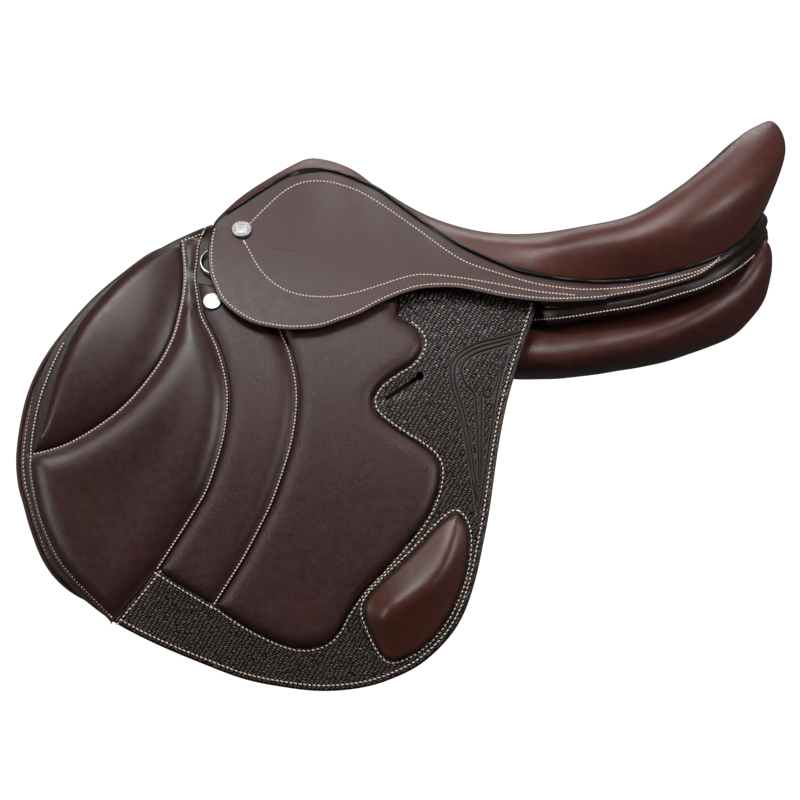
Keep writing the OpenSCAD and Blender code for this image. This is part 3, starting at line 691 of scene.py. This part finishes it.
def calf_height(x, z):
    """A low wall round the block and the crest of its ridge; the faces between them are stretched later."""
    p = np.stack([x, z], 1)
    gap = ridge_gap(p)
    on_ridge = gap.min(1) < 0.9
    wall = 4.6 * rise(away(p, closed(CALF_EDGE)) / 3.6)
    return np.where(on_ridge, np.maximum(CALF_RIDGE[gap.argmin(1), 2], wall), wall)


def calf_pins(v):
    """The points of the block that the stretching leaves in place."""
    return (ridge_gap(v).min(1) < 0.9) | (away(v, closed(CALF_EDGE)) < 3.4)


# ---------- Flap ----------
SLOT_C, SLOT_A = np.array([-83, -7.5]), math.radians(34)


def slot_loop(half, r, end):
    """Slit with a punched round end."""
    round_end = [(half + end * math.cos(t), end * math.sin(t)) for t in np.linspace(-2.6, 2.6, 14)]
    shape = [(-half, r), (-half, -r), (half - 2, -r), *round_end, (half - 2, r)]
    c, s = math.cos(SLOT_A), math.sin(SLOT_A)
    return np.array([(SLOT_C[0] + c * u - s * w, SLOT_C[1] + s * u + c * w) for u, w in shape])


def trim_run(line, front, top):
    """The part of a line beside the flap's edge that runs along the grained trim."""
    x, z = line[:, 0], line[:, 1]
    return line[(x > front) & (z < top) & ~((x < -100) & (z > -180))]


TRIM_OUT = trim_run(offset(FLAP_EDGE, 1.2), -309, 66)
TRIM_INNER = offset(MAIN_EDGE, 1.0)
TRIM_LOOP = join(TRIM_OUT, curve([(22, 68), (-20, 76), (-60, 80), (-84, 78), (-86, 60)], 4.0, dense=3),
                 TRIM_INNER[2:], offset(MID_FOOT, 1.0)[1:],
                 curve([(-273, -149), (-290, -170), (-308, -190)], 2.5)[1:])

# Pressed double lines of the plain triangular figure
EMBOSS = [
    [(10, 36), (-8, 31), (-21, 28), (-33, 23), (-41, 17), (-45, 10), (-45.5, 2), (-44, -8), (-39, -25),
     (-35, -43), (-31, -67), (-28, -87), (-25.5, -104)],
    [(9, 33), (-8, 28), (-20, 25), (-31, 20.5), (-38.5, 15), (-42, 9), (-42.5, 2), (-41, -8), (-36, -25),
     (-32, -43), (-28.5, -67), (-26, -87), (-24.5, -104)],
    [(4, 33), (-3, 12), (-10, -14), (-15, -45), (-20, -78), (-24.5, -104)],
    [(2, 27.5), (-14, 23), (-27, 18.5), (-35, 12), (-37, 4), (-33, -6), (-27, -13), (-25.5, -30),
     (-24, -78)],
    [(2, 27.5), (-6, 8), (-13, -12), (-18, -15.5), (-21, -13.5), (-22, -30), (-22.5, -78)],
]
EMBOSS = [curve(line, 1.2) for line in EMBOSS]


def border_y(x, z):
    return side_y(x, z, BORDER)


def base_y(x, z):
    return side_y(x, z, BASE)


def emboss_gap(points):
    """Distance of each point from the pressed figure."""
    return np.min([away(points, line) for line in EMBOSS], axis=0)


def trim_top(x, z, d):
    groove = emboss_gap(np.stack([x, z], 1))
    return border_y(x, z) - 0.5 * (1 - rise(d / 0.9)) - 0.9 * np.exp(-(groove / 0.5) ** 2)


def flap_side(name, s):
    """Everything that rides on one flap."""
    body = f"{name}_flap_body"
    bend = ("root", body, *hinge_zone(s))
    f = f"{name}_"

    def flap_top(x, z, d):
        return side_y(x, z, FLAP_T) - 0.9 * (1 - rise(d / 1.2))

    plate(f + "flap_leather", FLAP_LOOP, flap_top, side_y, ["flap", "edge"], body, s,
          holes=[slot_loop(16, 1.5, 2.9)], grid=7, rings=(0.4, 1.2, 3.0), edge=0.5, slot="flap_leather",
          replaces=[f + "flap"], blend=bend)

    def pad(piece, loop, height, mat, cad, size, unevenness=0.25):
        def top(x, z, d):
            h = height(x, z)
            return border_y(x, z) + h + unevenness * ripple(x, z, size, len(piece)) * soft(h / 4) \
                - 1.0 * (1 - rise(d / 0.8))
        o = plate(f + piece, loop, top, base_y, [mat, "edge"], body, s, grid=3.2, relax=4, edge=0.45,
                  slot="pad_leather", replaces=[f + cad], blend=bend)

    pad("knee_roll_leather", KNEE_LOOP, knee_height, "pad", "knee_roll", size=26.0, unevenness=0.45)
    pad("front_pad_leather", FRONT_LOOP,
        pad_height([(closed(FRONT_LOOP), 4.2)], 7.6, 17, dish=0.22), "pad", "front_pad", size=30.0)
    pad("mid_pad_leather", MID_LOOP,
        pad_height([(offset(SEAM_B, 2.0), 4.4), (offset(SEAM_A, 2.9), 0.2), (MID_FOOT, 0.4)], 6.0, 9),
        "main", "mid_pad", size=30.0)
    pad("main_pad_leather", MAIN_LOOP,
        pad_height([(MAIN_EDGE, 0.2), (offset(SEAM_B, 2.9), 0.2)], 6.4, 8.5),
        "main", "main_pad", size=34.0)
    trim = plate(f + "grained_trim", TRIM_LOOP, trim_top, base_y, ["trim", "edge", "flap"], body, s,
                 holes=[slot_loop(16.2, 1.7, 3.2)],
                 extra=[offset(l, k) for l in EMBOSS for k in (-1.7, -0.9, -0.45, 0, 0.45, 0.9, 1.7)],
                 grid=5, rings=(0.5, 1.2, 3.0), edge=0.9, slot="grained_trim",
                 replaces=[f + "flap_trim"], blend=bend)
    # Along the pressed lines: a smooth band of flap leather, with near-black edge paint in each groove's
    # centre as painted shade
    near = emboss_gap(np.array([tuple(p.center) for p in trim.data.polygons])[:, [0, 2]] / MM)
    for p in np.flatnonzero(near < 1.5):
        trim.data.polygons[p].material_index = 1 if near[p] < 0.5 else 2

    def calf_top(x, z, d):
        return side_y(x, z, BORDER + 0.2) + calf_height(x, z)

    o = plate(f + "calf_block_leather", CALF_EDGE, calf_top, lambda x, z: side_y(x, z, BASE + 1.2),
              ["block", "edge"], body, s, grid=2.2, rings=(0.35, 0.9, 1.7, 2.8, 4.2, 6.5), relax=24,
              extra=[CALF_RIDGE[:, :2]], pins=calf_pins, slot="block_leather", replaces=[f + "calf_block"])
    x, z = closed(CALF_EDGE).T
    v, g = tube(np.stack([x, side_y(x, z, BORDER + 0.5), z], 1), 1.2, 6)
    build(f + "calf_block_welt", v, g, ["edge"], body, s, slot="black_piping")

    rows = [stitches(line, border_y) for line in (
        offset(KNEE_SEAM, 2.0), offset(SEAM_A, 0.6), offset(SEAM_B, 0.6),
        FRONT_STITCH[FRONT_STITCH[:, 1] < 29], FRONT_STITCH[FRONT_STITCH[:, 0] > -258])]
    long = dict(pitch=3.6, length=2.6, r=0.55)
    rows.append(stitches(offset(MAIN_EDGE, 3.2)[9:], border_y, **long))
    rows.append(stitches(offset(MID_FOOT, 4.0), border_y, **long))
    rows.append(stitches(offset(TRIM_END, 3.4), border_y, **long))
    rows.append(stitches(trim_run(offset(FLAP_EDGE, 4.4), -300, 62), border_y, **long))
    rows.append(stitches(offset(closed(CALF_EDGE), 2.9), border_y, **long))
    v, g = gather(rows)
    build(f + "flap_stitching", v, g, ["thread"], body, s, slot="flap_leather", blend=bend)


for side_name, sign in SIDES.items():
    flap_side(side_name, sign)


# ---------- Skirt ----------
SKIRT_TOP = [(-234, 84, 118), (-231, 84.5, 124), (-222, 81, 130.5), (-210, 75, 138.5), (-204, 71, 143),
             (-190, 63, 152.5), (-177, 56, 160.5), (-165, 51, 165.5), (-153, 51, 166.5), (-141, 54, 165.5),
             (-129, 57, 162), (-117, 60, 157), (-101, 66, 149), (-85, 73, 137), (-69, 80, 125),
             (-53, 87, 114), (-38, 92, 104.5), (-22, 96, 96.5), (-6, 98.5, 89.5), (9, 101, 83.5),
             (25, 102.5, 80), (41, 103.5, 77.3), (56, 104.5, 75.8), (72, 105, 74.8), (90, 106, 75.5),
             (103, 107, 77), (120, 107, 80.5), (135, 106.5, 84.5), (151, 105, 89.5), (163, 101, 94.5),
             (171, 97, 98)]
SKIRT_FOOT = [(76, 113, 61), (103, 113, 66), (135, 110, 73), (151, 107, 79), (163, 102, 87), (171, 97, 97)]
TOP_LINE = curve(SKIRT_TOP, 3.0)


def skirt_y(x, z, off=0.0):
    """Outer face of the skirt: the curved side below the hinge line, and up to the welt above it."""
    low = side_y(x, np.minimum(z, hinge_z(x)), 20)
    tip = np.interp(x, [p[0] for p in SKIRT_FOOT], [p[1] for p in SKIRT_FOOT])
    low = np.where(x > 76, tip, low)
    top_y = np.interp(x, TOP_LINE[:, 0], TOP_LINE[:, 1])
    top_z = np.interp(x, TOP_LINE[:, 0], TOP_LINE[:, 2])
    tip_z = np.interp(x, [p[0] for p in SKIRT_FOOT], [p[2] for p in SKIRT_FOOT])
    foot_z = np.where(x > 76, tip_z, hinge_z(x))
    high = np.maximum(top_z - foot_z, 1)
    s = np.clip((z - foot_z) / high, 0, 1)
    first = np.where(x > 76, 0.35, -110 / 150) * high
    last = 1.6 * (top_y - low) - 0.6 * first
    return ((2 * s ** 3 - 3 * s ** 2 + 1) * low + (s ** 3 - 2 * s ** 2 + s) * first
            + (3 * s ** 2 - 2 * s ** 3) * top_y + (s ** 3 - s ** 2) * last + off)


SKIRT_LOW = curve([(-231, 125), (-234.5, 116), (-236, 101), (-235, 85), (-231, 73), (-225, 61), (-213, 50),
                   (-198, 42), (-178, 38), (-162, 37.5), (-147, 39), (-132, 44), (-116, 50), (-101, 58),
                   (-85, 65), (-70, 69.5), (-54, 71), (-38, 70.5), (-22, 67.5), (-7, 64), (10, 61.5),
                   (24, 60), (40, 59.5), (56, 60), (71, 61), (90, 64), (111, 68), (135, 74), (151, 80),
                   (163, 88), (171, 97)])
SKIRT_LOOP = join(SKIRT_LOW, TOP_LINE[::-1][1:, [0, 2]])


def cut_loop(loop, keep_above):
    """The part of a loop above or below the hinge line, closed along that line."""
    out = []
    n = len(loop)
    for i in range(n):
        a, b = loop[i], loop[(i + 1) % n]
        ha, hb = a[1] - hinge_z(a[0]), b[1] - hinge_z(b[0])
        if (ha >= 0) == keep_above:
            out.append(a)
        if (ha >= 0) != (hb >= 0):
            out.append(a + (b - a) * ha / (ha - hb))
    return np.array(out)


def densify(loop, step=3.0):
    """Adds points where a loop has long straight edges."""
    out = []
    for a, b in zip(loop, np.roll(loop, -1, 0)):
        k = max(1, int(np.linalg.norm(b - a) / step))
        out += [a + (b - a) * i / k for i in range(k)]
    return np.array(out)


SKIRT_UP = densify(cut_loop(SKIRT_LOOP, True))
SKIRT_DOWN = densify(cut_loop(SKIRT_LOOP, False))
SKIRT_RIM = closed(SKIRT_LOOP)
SKIRT_ROWS = [
    offset(SKIRT_LOW, 2.8)[3:-2],
    curve([(-203, 123), (-190, 137), (-177, 149), (-165, 155.5), (-153, 157.5), (-138, 156), (-120, 150),
           (-104, 141), (-88, 130), (-70, 117), (-50, 102), (-32, 91), (-6, 82), (20, 74.5), (41, 71),
           (60, 69.5), (85, 70.5), (104, 73), (135, 80), (151, 85), (166, 93)]),
    curve([(-208, 108), (-204, 101), (-196, 87), (-187, 77), (-175, 69), (-160, 64.5), (-140, 63.5),
           (-121, 66.5), (-100, 73), (-85, 78), (-72, 81), (-58, 81), (-36, 78.5), (-7, 73.5), (22, 68),
           (51, 65)]),
]


def skirt_side(name, s):
    f = f"{name}_"
    upper = ("root", f + "flap_body", *hinge_zone(s, 10))
    start, end = hinge_zone(s, 12)
    lower = (f + "flap_body", f + "skirt_body", end, tuple(2 * Vector(end) - Vector(start)))

    def top(x, z, d):
        rim = away(np.stack([x, z], 1), SKIRT_RIM)
        return skirt_y(x, z) - 0.9 * (1 - rise(rim / 1.1))

    def bottom(x, z):
        return skirt_y(x, z, -2.4)

    for cad, loop, body, bend in (("skirt_upper", SKIRT_UP, "root", upper),
                                  ("skirt", SKIRT_DOWN, f + "skirt_body", lower)):
        paint_rim(plate(f"{f}{cad}_leather", loop, top, bottom, ["skirt", "edge"], body, s,
                        rings=(0.45, 1.1, 2.6), grid=5.5, edge=0.0, smooth=50, slot="skirt_leather",
                        replaces=[f + cad], blend=bend))
    for part, bend in (("upper", upper), ("lower", lower)):
        rows = []
        for line in SKIRT_ROWS:
            p = curve(line, 2.7, dense=8)
            above = p[:, 1] > hinge_z(p[:, 0])
            runs = np.split(np.arange(len(p)), np.flatnonzero(np.diff(above.astype(int))) + 1)
            rows += [stitches(p[r], skirt_y) for r in runs if len(r) > 1 and above[r[0]] == (part == "upper")]
        v, g = gather(rows)
        build(f"{f}skirt_stitching_{part}", v, g, ["thread"], "root", s, slot="skirt_leather", blend=bend)


def paint_rim(obj):
    """Only the real rim of the skirt is painted, not the hinge line."""
    centres = np.array([tuple(p.center) for p in obj.data.polygons])[:, [0, 2]] / MM
    obj.data.polygons.foreach_set("material_index", (away(centres, SKIRT_RIM) < 1.0).astype(np.int32))


for side_name, sign in SIDES.items():
    skirt_side(side_name, sign)


# ---------- Seat ----------
SEAT = [
    [(-166, 0, 148), (-182, 27, 141), (-210, 58, 125), (-228, 82, 116)],
    [(-176, 0, 165), (-192, 29, 156), (-217, 60, 138), (-233, 84, 122)],
    [(-163, 0, 178), (-177, 29, 169), (-203, 56, 151), (-222, 81, 132)],
    [(-145, 0, 178), (-150, 26, 174), (-166, 44, 168), (-177, 56, 162)],
    [(-122, 0, 169), (-126, 24, 170), (-133, 40, 169), (-141, 54, 167)],
    [(-95, 0, 149), (-97, 30, 150), (-99, 50, 151), (-101, 66, 151)],
    [(-60, 0, 130), (-60, 35, 130), (-61, 65, 127), (-61, 83, 120)],
    [(-20, 0, 118), (-20, 45, 118), (-21, 80, 112), (-22, 96, 98)],
    [(20, 0, 114), (20, 52, 116), (20, 90, 106), (20, 101, 84)],
    [(60, 0, 115), (60, 78, 121), (60, 107, 106), (60, 105, 77)],
    [(100, 0, 120), (100, 90, 130), (101, 119, 110), (100, 108, 79)],
    [(130, 0, 132), (136, 88, 152), (144, 118, 126), (138, 108, 86)],
    [(155, 0, 148), (167, 72, 176), (184, 100, 148), (170, 98, 98)],
    [(172, 0, 163), (192, 44, 198), (213, 66, 168), (192, 72, 114)],
    [(184, 0, 178), (214, 0, 210), (228, 0, 186), (210, 0, 134)]]
SEAT_N = len(SEAT) - 1
NET = np.array(SEAT, float)
FLIP = np.array([1, -1, 1.0])


def along(p, u, before, after):
    """Point at parameter u along a list, with a chosen point before and after it."""
    n = len(p) - 1
    i = min(int(u), n - 1)
    return smooth_between(p[i - 1] if i > 0 else before, p[i], p[i + 1],
                          p[i + 2] if i + 2 <= n else after, u - i)


def seat_point(u, v):
    q = np.array([along(NET[:, c], u, NET[0, c], NET[SEAT_N - 1, c] * FLIP) for c in range(4)])
    return along(q, v, q[1] * FLIP, q[3])


def seat():
    nu, nv = 9 * SEAT_N, 36
    half = np.array([[seat_point(i / nu * SEAT_N, j / nv * 3) for j in range(nv + 1)] for i in range(nu + 1)])
    grid = np.concatenate([half, half[-2::-1] * FLIP])
    m = len(grid)
    for _ in range(3):
        inner = grid.copy()
        inner[1:-1, 1:-1] = 0.5 * grid[1:-1, 1:-1] + 0.125 * (grid[:-2, 1:-1] + grid[2:, 1:-1]
                                                              + grid[1:-1, :-2] + grid[1:-1, 2:])
        grid = inner
    grid[:, 0] = np.concatenate([half[:, 0], half[-2::-1, 0] * FLIP])
    ghost = grid[::-1, 1]
    du = np.gradient(grid, axis=0)
    dv = np.concatenate([(grid[:, 1:2] - ghost[:, None]) / 2, (grid[:, 2:] - grid[:, :-2]) / 2,
                         grid[:, -1:] - grid[:, -2:-1]], axis=1)
    normal = np.cross(du, dv)
    normal[:, 0] += normal[::-1, 0]
    normal /= np.maximum(np.linalg.norm(normal, axis=2)[..., None], 1e-9)
    edge_in = np.array([1.0] * (nv - 2) + [0.8, 0.4, 0.0])
    out = grid - 0.6 * (1 - edge_in)[None, :, None] * normal
    inner = grid - 2.3 * normal
    ids = np.arange(m * (nv + 1)).reshape(m, nv + 1)
    for i in range(nu + 1, m):
        ids[i, 0] = ids[m - 1 - i, 0]
    low = m * (nv + 1)
    faces, chosen = [], []
    for i in range(m - 1):
        for j in range(nv):
            a, b, c, d = ids[i, j], ids[i, j + 1], ids[i + 1, j + 1], ids[i + 1, j]
            quad = tuple(dict.fromkeys((a, b, c, d)))
            faces.append(quad)
            faces.append(tuple(q + low for q in reversed(quad)))
            chosen += [1 if j == nv - 1 else 0, 0]
        a, b = ids[i, nv], ids[i + 1, nv]
        faces.append((b, a, a + low, b + low))
        chosen.append(1)
    for i, flip in ((0, False), (m - 1, True)):
        for j in range(nv):
            a, b = ids[i, j], ids[i, j + 1]
            q = (b, a, a + low, b + low)
            faces.append(tuple(reversed(q)) if not flip else q)
            chosen.append(1)
    o = build("seat_leather", np.vstack([out.reshape(-1, 3), inner.reshape(-1, 3)]), faces,
              ["seat", "edge"], "root", chosen=chosen, slot="seat_leather", smooth=60,
              replaces=["seat_cover"])
    tidy(o)


def tidy(obj):
    """Drops unused points and makes the faces of a closed mesh point outwards."""
    bm = bmesh.new()
    bm.from_mesh(obj.data)
    bmesh.ops.delete(bm, geom=[v for v in bm.verts if not v.link_faces], context="VERTS")
    bmesh.ops.remove_doubles(bm, verts=bm.verts, dist=1e-6)
    bmesh.ops.recalc_face_normals(bm, faces=bm.faces)
    bm.to_mesh(obj.data)
    bm.free()
    obj.data.update()


seat()

# Piping over the skirt's top edge, then round the back under the seat
welt = [np.array([x, y + 0.4, z + 1.3]) for x, y, z in curve(SKIRT_TOP[2:-1], 3.0)]
rear = [seat_point(u, 3) + np.array([-0.4, 0, -0.8]) for u in np.linspace(12.12, SEAT_N, 26)]
rear[-1][1] = 0
half_path = welt + rear
path = np.array(half_path + [p * FLIP for p in half_path[-2::-1]])
from_back = np.abs(np.arange(len(path)) - len(half_path) + 1)
v, g = tube(path, np.interp(from_back, [22, 34], [1.0, 1.3]))
build("seat_piping_cord", v, g, ["piping"], "root", slot="black_piping", replaces=["seat_piping"])

# ---------- Facing between seat and panels ----------
FACING = [(-34, 78, 70, 38), (-8, 84, 68, 38), (12, 89, 67, 39), (26, 97, 67, 41), (36, 103, 66, 42),
          (50, 106.5, 66, 44), (72, 107, 68, 48), (103, 107, 74, 53), (134, 105, 83, 62),
          (151, 101, 90, 67), (168, 95, 99, 75), (183, 82, 110, 85), (197, 60, 122, 97),
          (206, 32, 131, 106), (209, 0, 135, 111)]


def facing():
    half = curve(FACING, 4.0)
    half[-1][1] = 0
    rows = np.vstack([half, half[-2::-1] * np.array([1, -1, 1, 1])])
    t = np.gradient(rows[:, :2], axis=0)
    n = np.stack([-t[:, 1], t[:, 0]], 1)
    n /= np.linalg.norm(n, axis=1)[:, None]
    n = -n if n[len(n) // 2][0] < 0 else n
    shape = [(1.0, 0.0), (1.0, 1.0), (0.95, 2.6), (0.87, 3.9), (0.77, 4.3), (0.67, 3.7), (0.6, 2.2),
             (0.56, 2.2), (0.52, 3.4), (0.44, 4.2), (0.3, 4.4), (0.16, 4.2), (0.07, 3.6), (0.02, 2.6),
             (0.0, 1.0), (0.0, 0.0)]
    verts = [[r[0] + w[0] * out, r[1] + w[1] * out, r[3] + (r[2] - r[3]) * h]
             for r, w in zip(rows, n) for h, out in shape]
    # Its material is darkened as painted shade for the shadow under the skirt
    tidy(build("panel_facing_leather", verts, ring_faces(len(rows), len(shape)), ["facing"], "root",
               slot="panel_leather", smooth=50, replaces=["panel_facing"]))
    height = rows[:, 3] + (rows[:, 2] - rows[:, 3]) * 0.2
    line = curve(np.column_stack([rows[:, :2] + n * 4.4, height]), 2.7)
    along_t = np.gradient(line, axis=0)
    along_t /= np.linalg.norm(along_t, axis=1)[:, None]
    v, g = gather([tube([p + d * k for k in (-0.95, -0.5, 0.5, 0.95)], (0.15, 0.55, 0.55, 0.15), 6)
                   for p, d in zip(line, along_t)])
    build("facing_stitching", v, g, ["thread"], "root", slot="panel_leather")


facing()

# ---------- Panels ----------
PANEL = [(-226, 60, 63, 18, 3, 66), (-222, 60, 62, 25, 6, 66), (-212, 58, 58, 38, 9, 66),
         (-188, 58, 54, 42, 11, 64), (-150, 65, 44, 38, 16, 50), (-110, 70, 36, 37, 18, 36),
         (-70, 70, 29, 38, 20, 26), (-35, 70, 27, 39, 21, 20), (0, 71, 25, 40, 22, 16),
         (40, 72, 24, 41, 22, 12), (80, 71, 28, 40, 22, 8), (120, 69, 35, 38, 22, 4),
         (155, 64, 48, 34, 24, 0), (180, 58, 62, 30, 27, -4), (197, 54, 78, 26, 27, -8),
         (206, 52, 87, 20, 23, -8), (210, 51, 92, 13, 15, -8), (212, 50, 94, 7, 8, -8)]


def panel_side(name, s):
    rows = curve(PANEL, 4.0)
    k = 40
    a = -np.arange(k) * 2 * math.pi / k
    verts = []
    for x, yc, zc, p, q, tilt in rows:
        t = math.radians(tilt)
        full = 1 + 0.05 * np.cos(2 * a) ** 2
        u, w = p * np.cos(a) * full, q * np.sin(a) * full
        wave = 1 + 0.006 * np.sin(x / 9 + 3 * np.cos(a)) + 0.004 * np.sin(x / 4.3 + 2 * a)
        verts.append(np.stack([np.full(k, x), yc + (u * math.cos(t) + w * math.sin(t)) * wave,
                               zc + (-u * math.sin(t) + w * math.cos(t)) * wave], 1))
    o = build(f"{name}_panel_leather", np.vstack(verts), ring_faces(len(rows), k), ["panel"], "root", s,
              slot="panel_leather", smooth=60, replaces=[f"{name}_panel"])
    tidy(o)


# ---------- Sweat flap ----------
SWEAT_EDGE = curve([(-234, 100), (-250, 108), (-266, 107), (-284, 100), (-304, 85), (-326, 66), (-344, 46),
                    (-360, 25), (-371, 6), (-379, -15), (-384, -40), (-386, -64), (-384, -84), (-380, -98),
                    (-374, -118), (-364, -142), (-350, -160), (-330, -173), (-300, -182), (-262, -200),
                    (-220, -215), (-190, -223), (-150, -229), (-120, -228), (-90, -220), (-65, -205),
                    (-50, -186), (-43, -160), (-40, -130), (-40, -80), (-42, -20), (-40, 30),
                    (-41, 46)], 3.0)
SWEAT_TOP = curve([(-41, 46), (-90, 54), (-150, 62), (-190, 67), (-218, 72), (-230, 88)], 4.0)
SWEAT_LOOP = join(SWEAT_EDGE, SWEAT_TOP[:-1])


def sweat_side(name, s):
    f = f"{name}_"

    def top(x, z, d):
        return sweat_y(x, z) - 0.8 * (1 - rise(d)) - 0.9 * np.exp(-((d - 3.4) / 0.5) ** 2)

    plate(f + "sweat_flap_leather", SWEAT_LOOP, top, lambda x, z: sweat_y(x, z, -3.0), ["sweat"], "root", s,
          grid=7, rings=(0.5, 1.4, 2.9, 3.4, 3.9, 5.5), slot="sweat_leather", replaces=[f + "sweat_flap"])
    row = offset(SWEAT_EDGE, 6.0)[8:-6]
    v, g = stitches(row, sweat_y, pitch=3.2, length=2.3)
    build(f + "sweat_flap_stitching", v, g, ["thread"], "root", s, slot="sweat_leather")


# ---------- Nails ----------
def lathe(profile, k=48):
    """Turned solid about +Y from (radius, height) pairs, from the centre of its foot to that of its face."""
    a = np.arange(k) * 2 * math.pi / k
    verts = [[0, profile[0][1], 0]]
    for r, h in profile[1:-1]:
        verts += [[r * math.cos(t), h, r * math.sin(t)] for t in a]
    verts.append([0, profile[-1][1], 0])
    n = len(profile) - 2
    last = 1 + n * k
    faces = []
    for j in range(k):
        m = (j + 1) % k
        faces.append((0, 1 + j, 1 + m))
        for i in range(n - 1):
            b = 1 + i * k
            faces.append((b + j, b + j + k, b + m + k, b + m))
        faces.append((last, 1 + (n - 1) * k + m, 1 + (n - 1) * k + j))
    return np.array(verts), faces


def nail_shape(r, foot, h):
    return lathe([(0, -foot), (r * 0.5, -foot), (r * 0.5, 0), (r, 0), (r, h * 0.45), (r * 0.97, h * 0.8),
                  (r * 0.92, h), (r * 0.87, h), (r * 0.83, h - 0.35), (r * 0.66, h - 0.4),
                  (r * 0.63, h - 0.2), (r * 0.58, h - 0.2), (r * 0.55, h - 0.4), (r * 0.2, h - 0.28),
                  (0, h - 0.25)])


def beads(r, height, count):
    """Ring of small raised dots round the face of a nail."""
    dots = []
    for a in np.arange(count) * 2 * math.pi / count:
        p = np.array([r * 0.745 * math.cos(a), height - 0.6, r * 0.745 * math.sin(a)])
        up = np.array([0, 1, 0])
        dots.append(tube([p, p + up * 0.35, p + up * 0.5], np.array([0.42, 0.38, 0.16]), 6))
    return gather(dots)


def placed(shape, place, tilt):
    """Turns a lathe shape about X by tilt degrees and moves it."""
    v, g = shape
    c, s = math.cos(math.radians(tilt)), math.sin(math.radians(tilt))
    v = np.stack([v[:, 0], v[:, 1] * c - v[:, 2] * s, v[:, 1] * s + v[:, 2] * c], 1)
    return v + np.array(place), g


def side_tilt(x, z):
    return math.degrees(math.atan(110 / 150 * math.exp(-max(hinge_z(x) - z, 0) / 150)))


def nails_side(name, s):
    f = f"{name}_"
    for kind, body, x, y, z, tilt, r, foot, count in (
            ("skirt", "root", -210, float(skirt_y(-210.0, 117.0)) + 0.3, 117, 37.5, 8.3, 1, 26),
            ("flap", f + "flap_body", -232, float(side_y(-232, 59.5, 11.2)), 59.5,
             side_tilt(-232, 59.5), 7.2, 4, 22)):
        v, g = placed(gather([nail_shape(r, foot, 2.2), beads(r, 2.2, count)]), (x, y, z), tilt)
        tidy(build(f"{f}{kind}_nail_head", v, g, ["chrome"], body, s, slot="chrome_trim", smooth=30,
                   replaces=[f"{f}{kind}_nail"]))


for side_name, sign in SIDES.items():
    panel_side(side_name, sign)
    sweat_side(side_name, sign)
    nails_side(side_name, sign)

# ---------- CAD nodes that stay ----------
KEEP = {"tree_frame": "wood", "head_plate": "tree_steel", "gullet_plate": "tree_steel", "seat_webbing": "web",
        "girth_web_front": "web", "girth_web_rear": "web", "seat_foam": "foam"}
SIDE_KEEP = {"spring_steel": "tree_steel", "tree_point": "wood", "stirrup_bar": "bar", "bar_rivets": "bar",
             "bar_catch": "bar", "point_pocket": "panel", "dee_chape": "strap", "dee": "chrome",
             "billet_front": "strap", "billet_mid": "strap", "billet_rear": "strap", "buckle_guard": "strap"}
KEEP.update({f"{s}_{n}": m for s in SIDES for n, m in SIDE_KEEP.items()})
for cad_node, material in KEEP.items():
    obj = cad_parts[cad_node]
    obj.data.materials.clear()
    obj.data.materials.append(M[material])


# ---------- Floor ----------
def floor():
    """Pale floor that curves up all round into a dome."""
    profile = [(0.0, -4.0), (4.0, -4.0), (8.0, -4.0)]
    profile += [(8.0 + 5.0 * math.sin(a), 1.0 - 5.0 * math.cos(a)) for a in np.linspace(0.1, math.pi / 2, 10)]
    profile += [(13.0 * math.cos(a), 1.0 + 11.0 * math.sin(a)) for a in np.linspace(0.1, math.pi / 2, 12)]
    k = 48
    angles = np.arange(k) * 2 * math.pi / k
    verts = [(r * math.cos(a), r * math.sin(a), z) for r, z in profile for a in angles]
    faces = ring_faces(len(profile), k)[:-2]
    mesh = bpy.data.meshes.new("floor")
    mesh.from_pydata(verts, [], faces)
    mesh.polygons.foreach_set("use_smooth", np.ones(len(faces), bool))
    mat, tree, bsdf = new_material("floor")
    bsdf.inputs["Base Color"].default_value = (0.93, 0.93, 0.93, 1)
    bsdf.inputs["Roughness"].default_value = 0.9
    bsdf.inputs["Emission Color"].default_value = (1, 1, 1, 1)
    bsdf.inputs["Emission Strength"].default_value = 1.0
    mesh.materials.append(mat)
    obj = bpy.data.objects.new("floor", mesh)
    bpy.context.collection.objects.link(obj)
    obj.visible_diffuse = False
    obj.visible_glossy = False


floor()
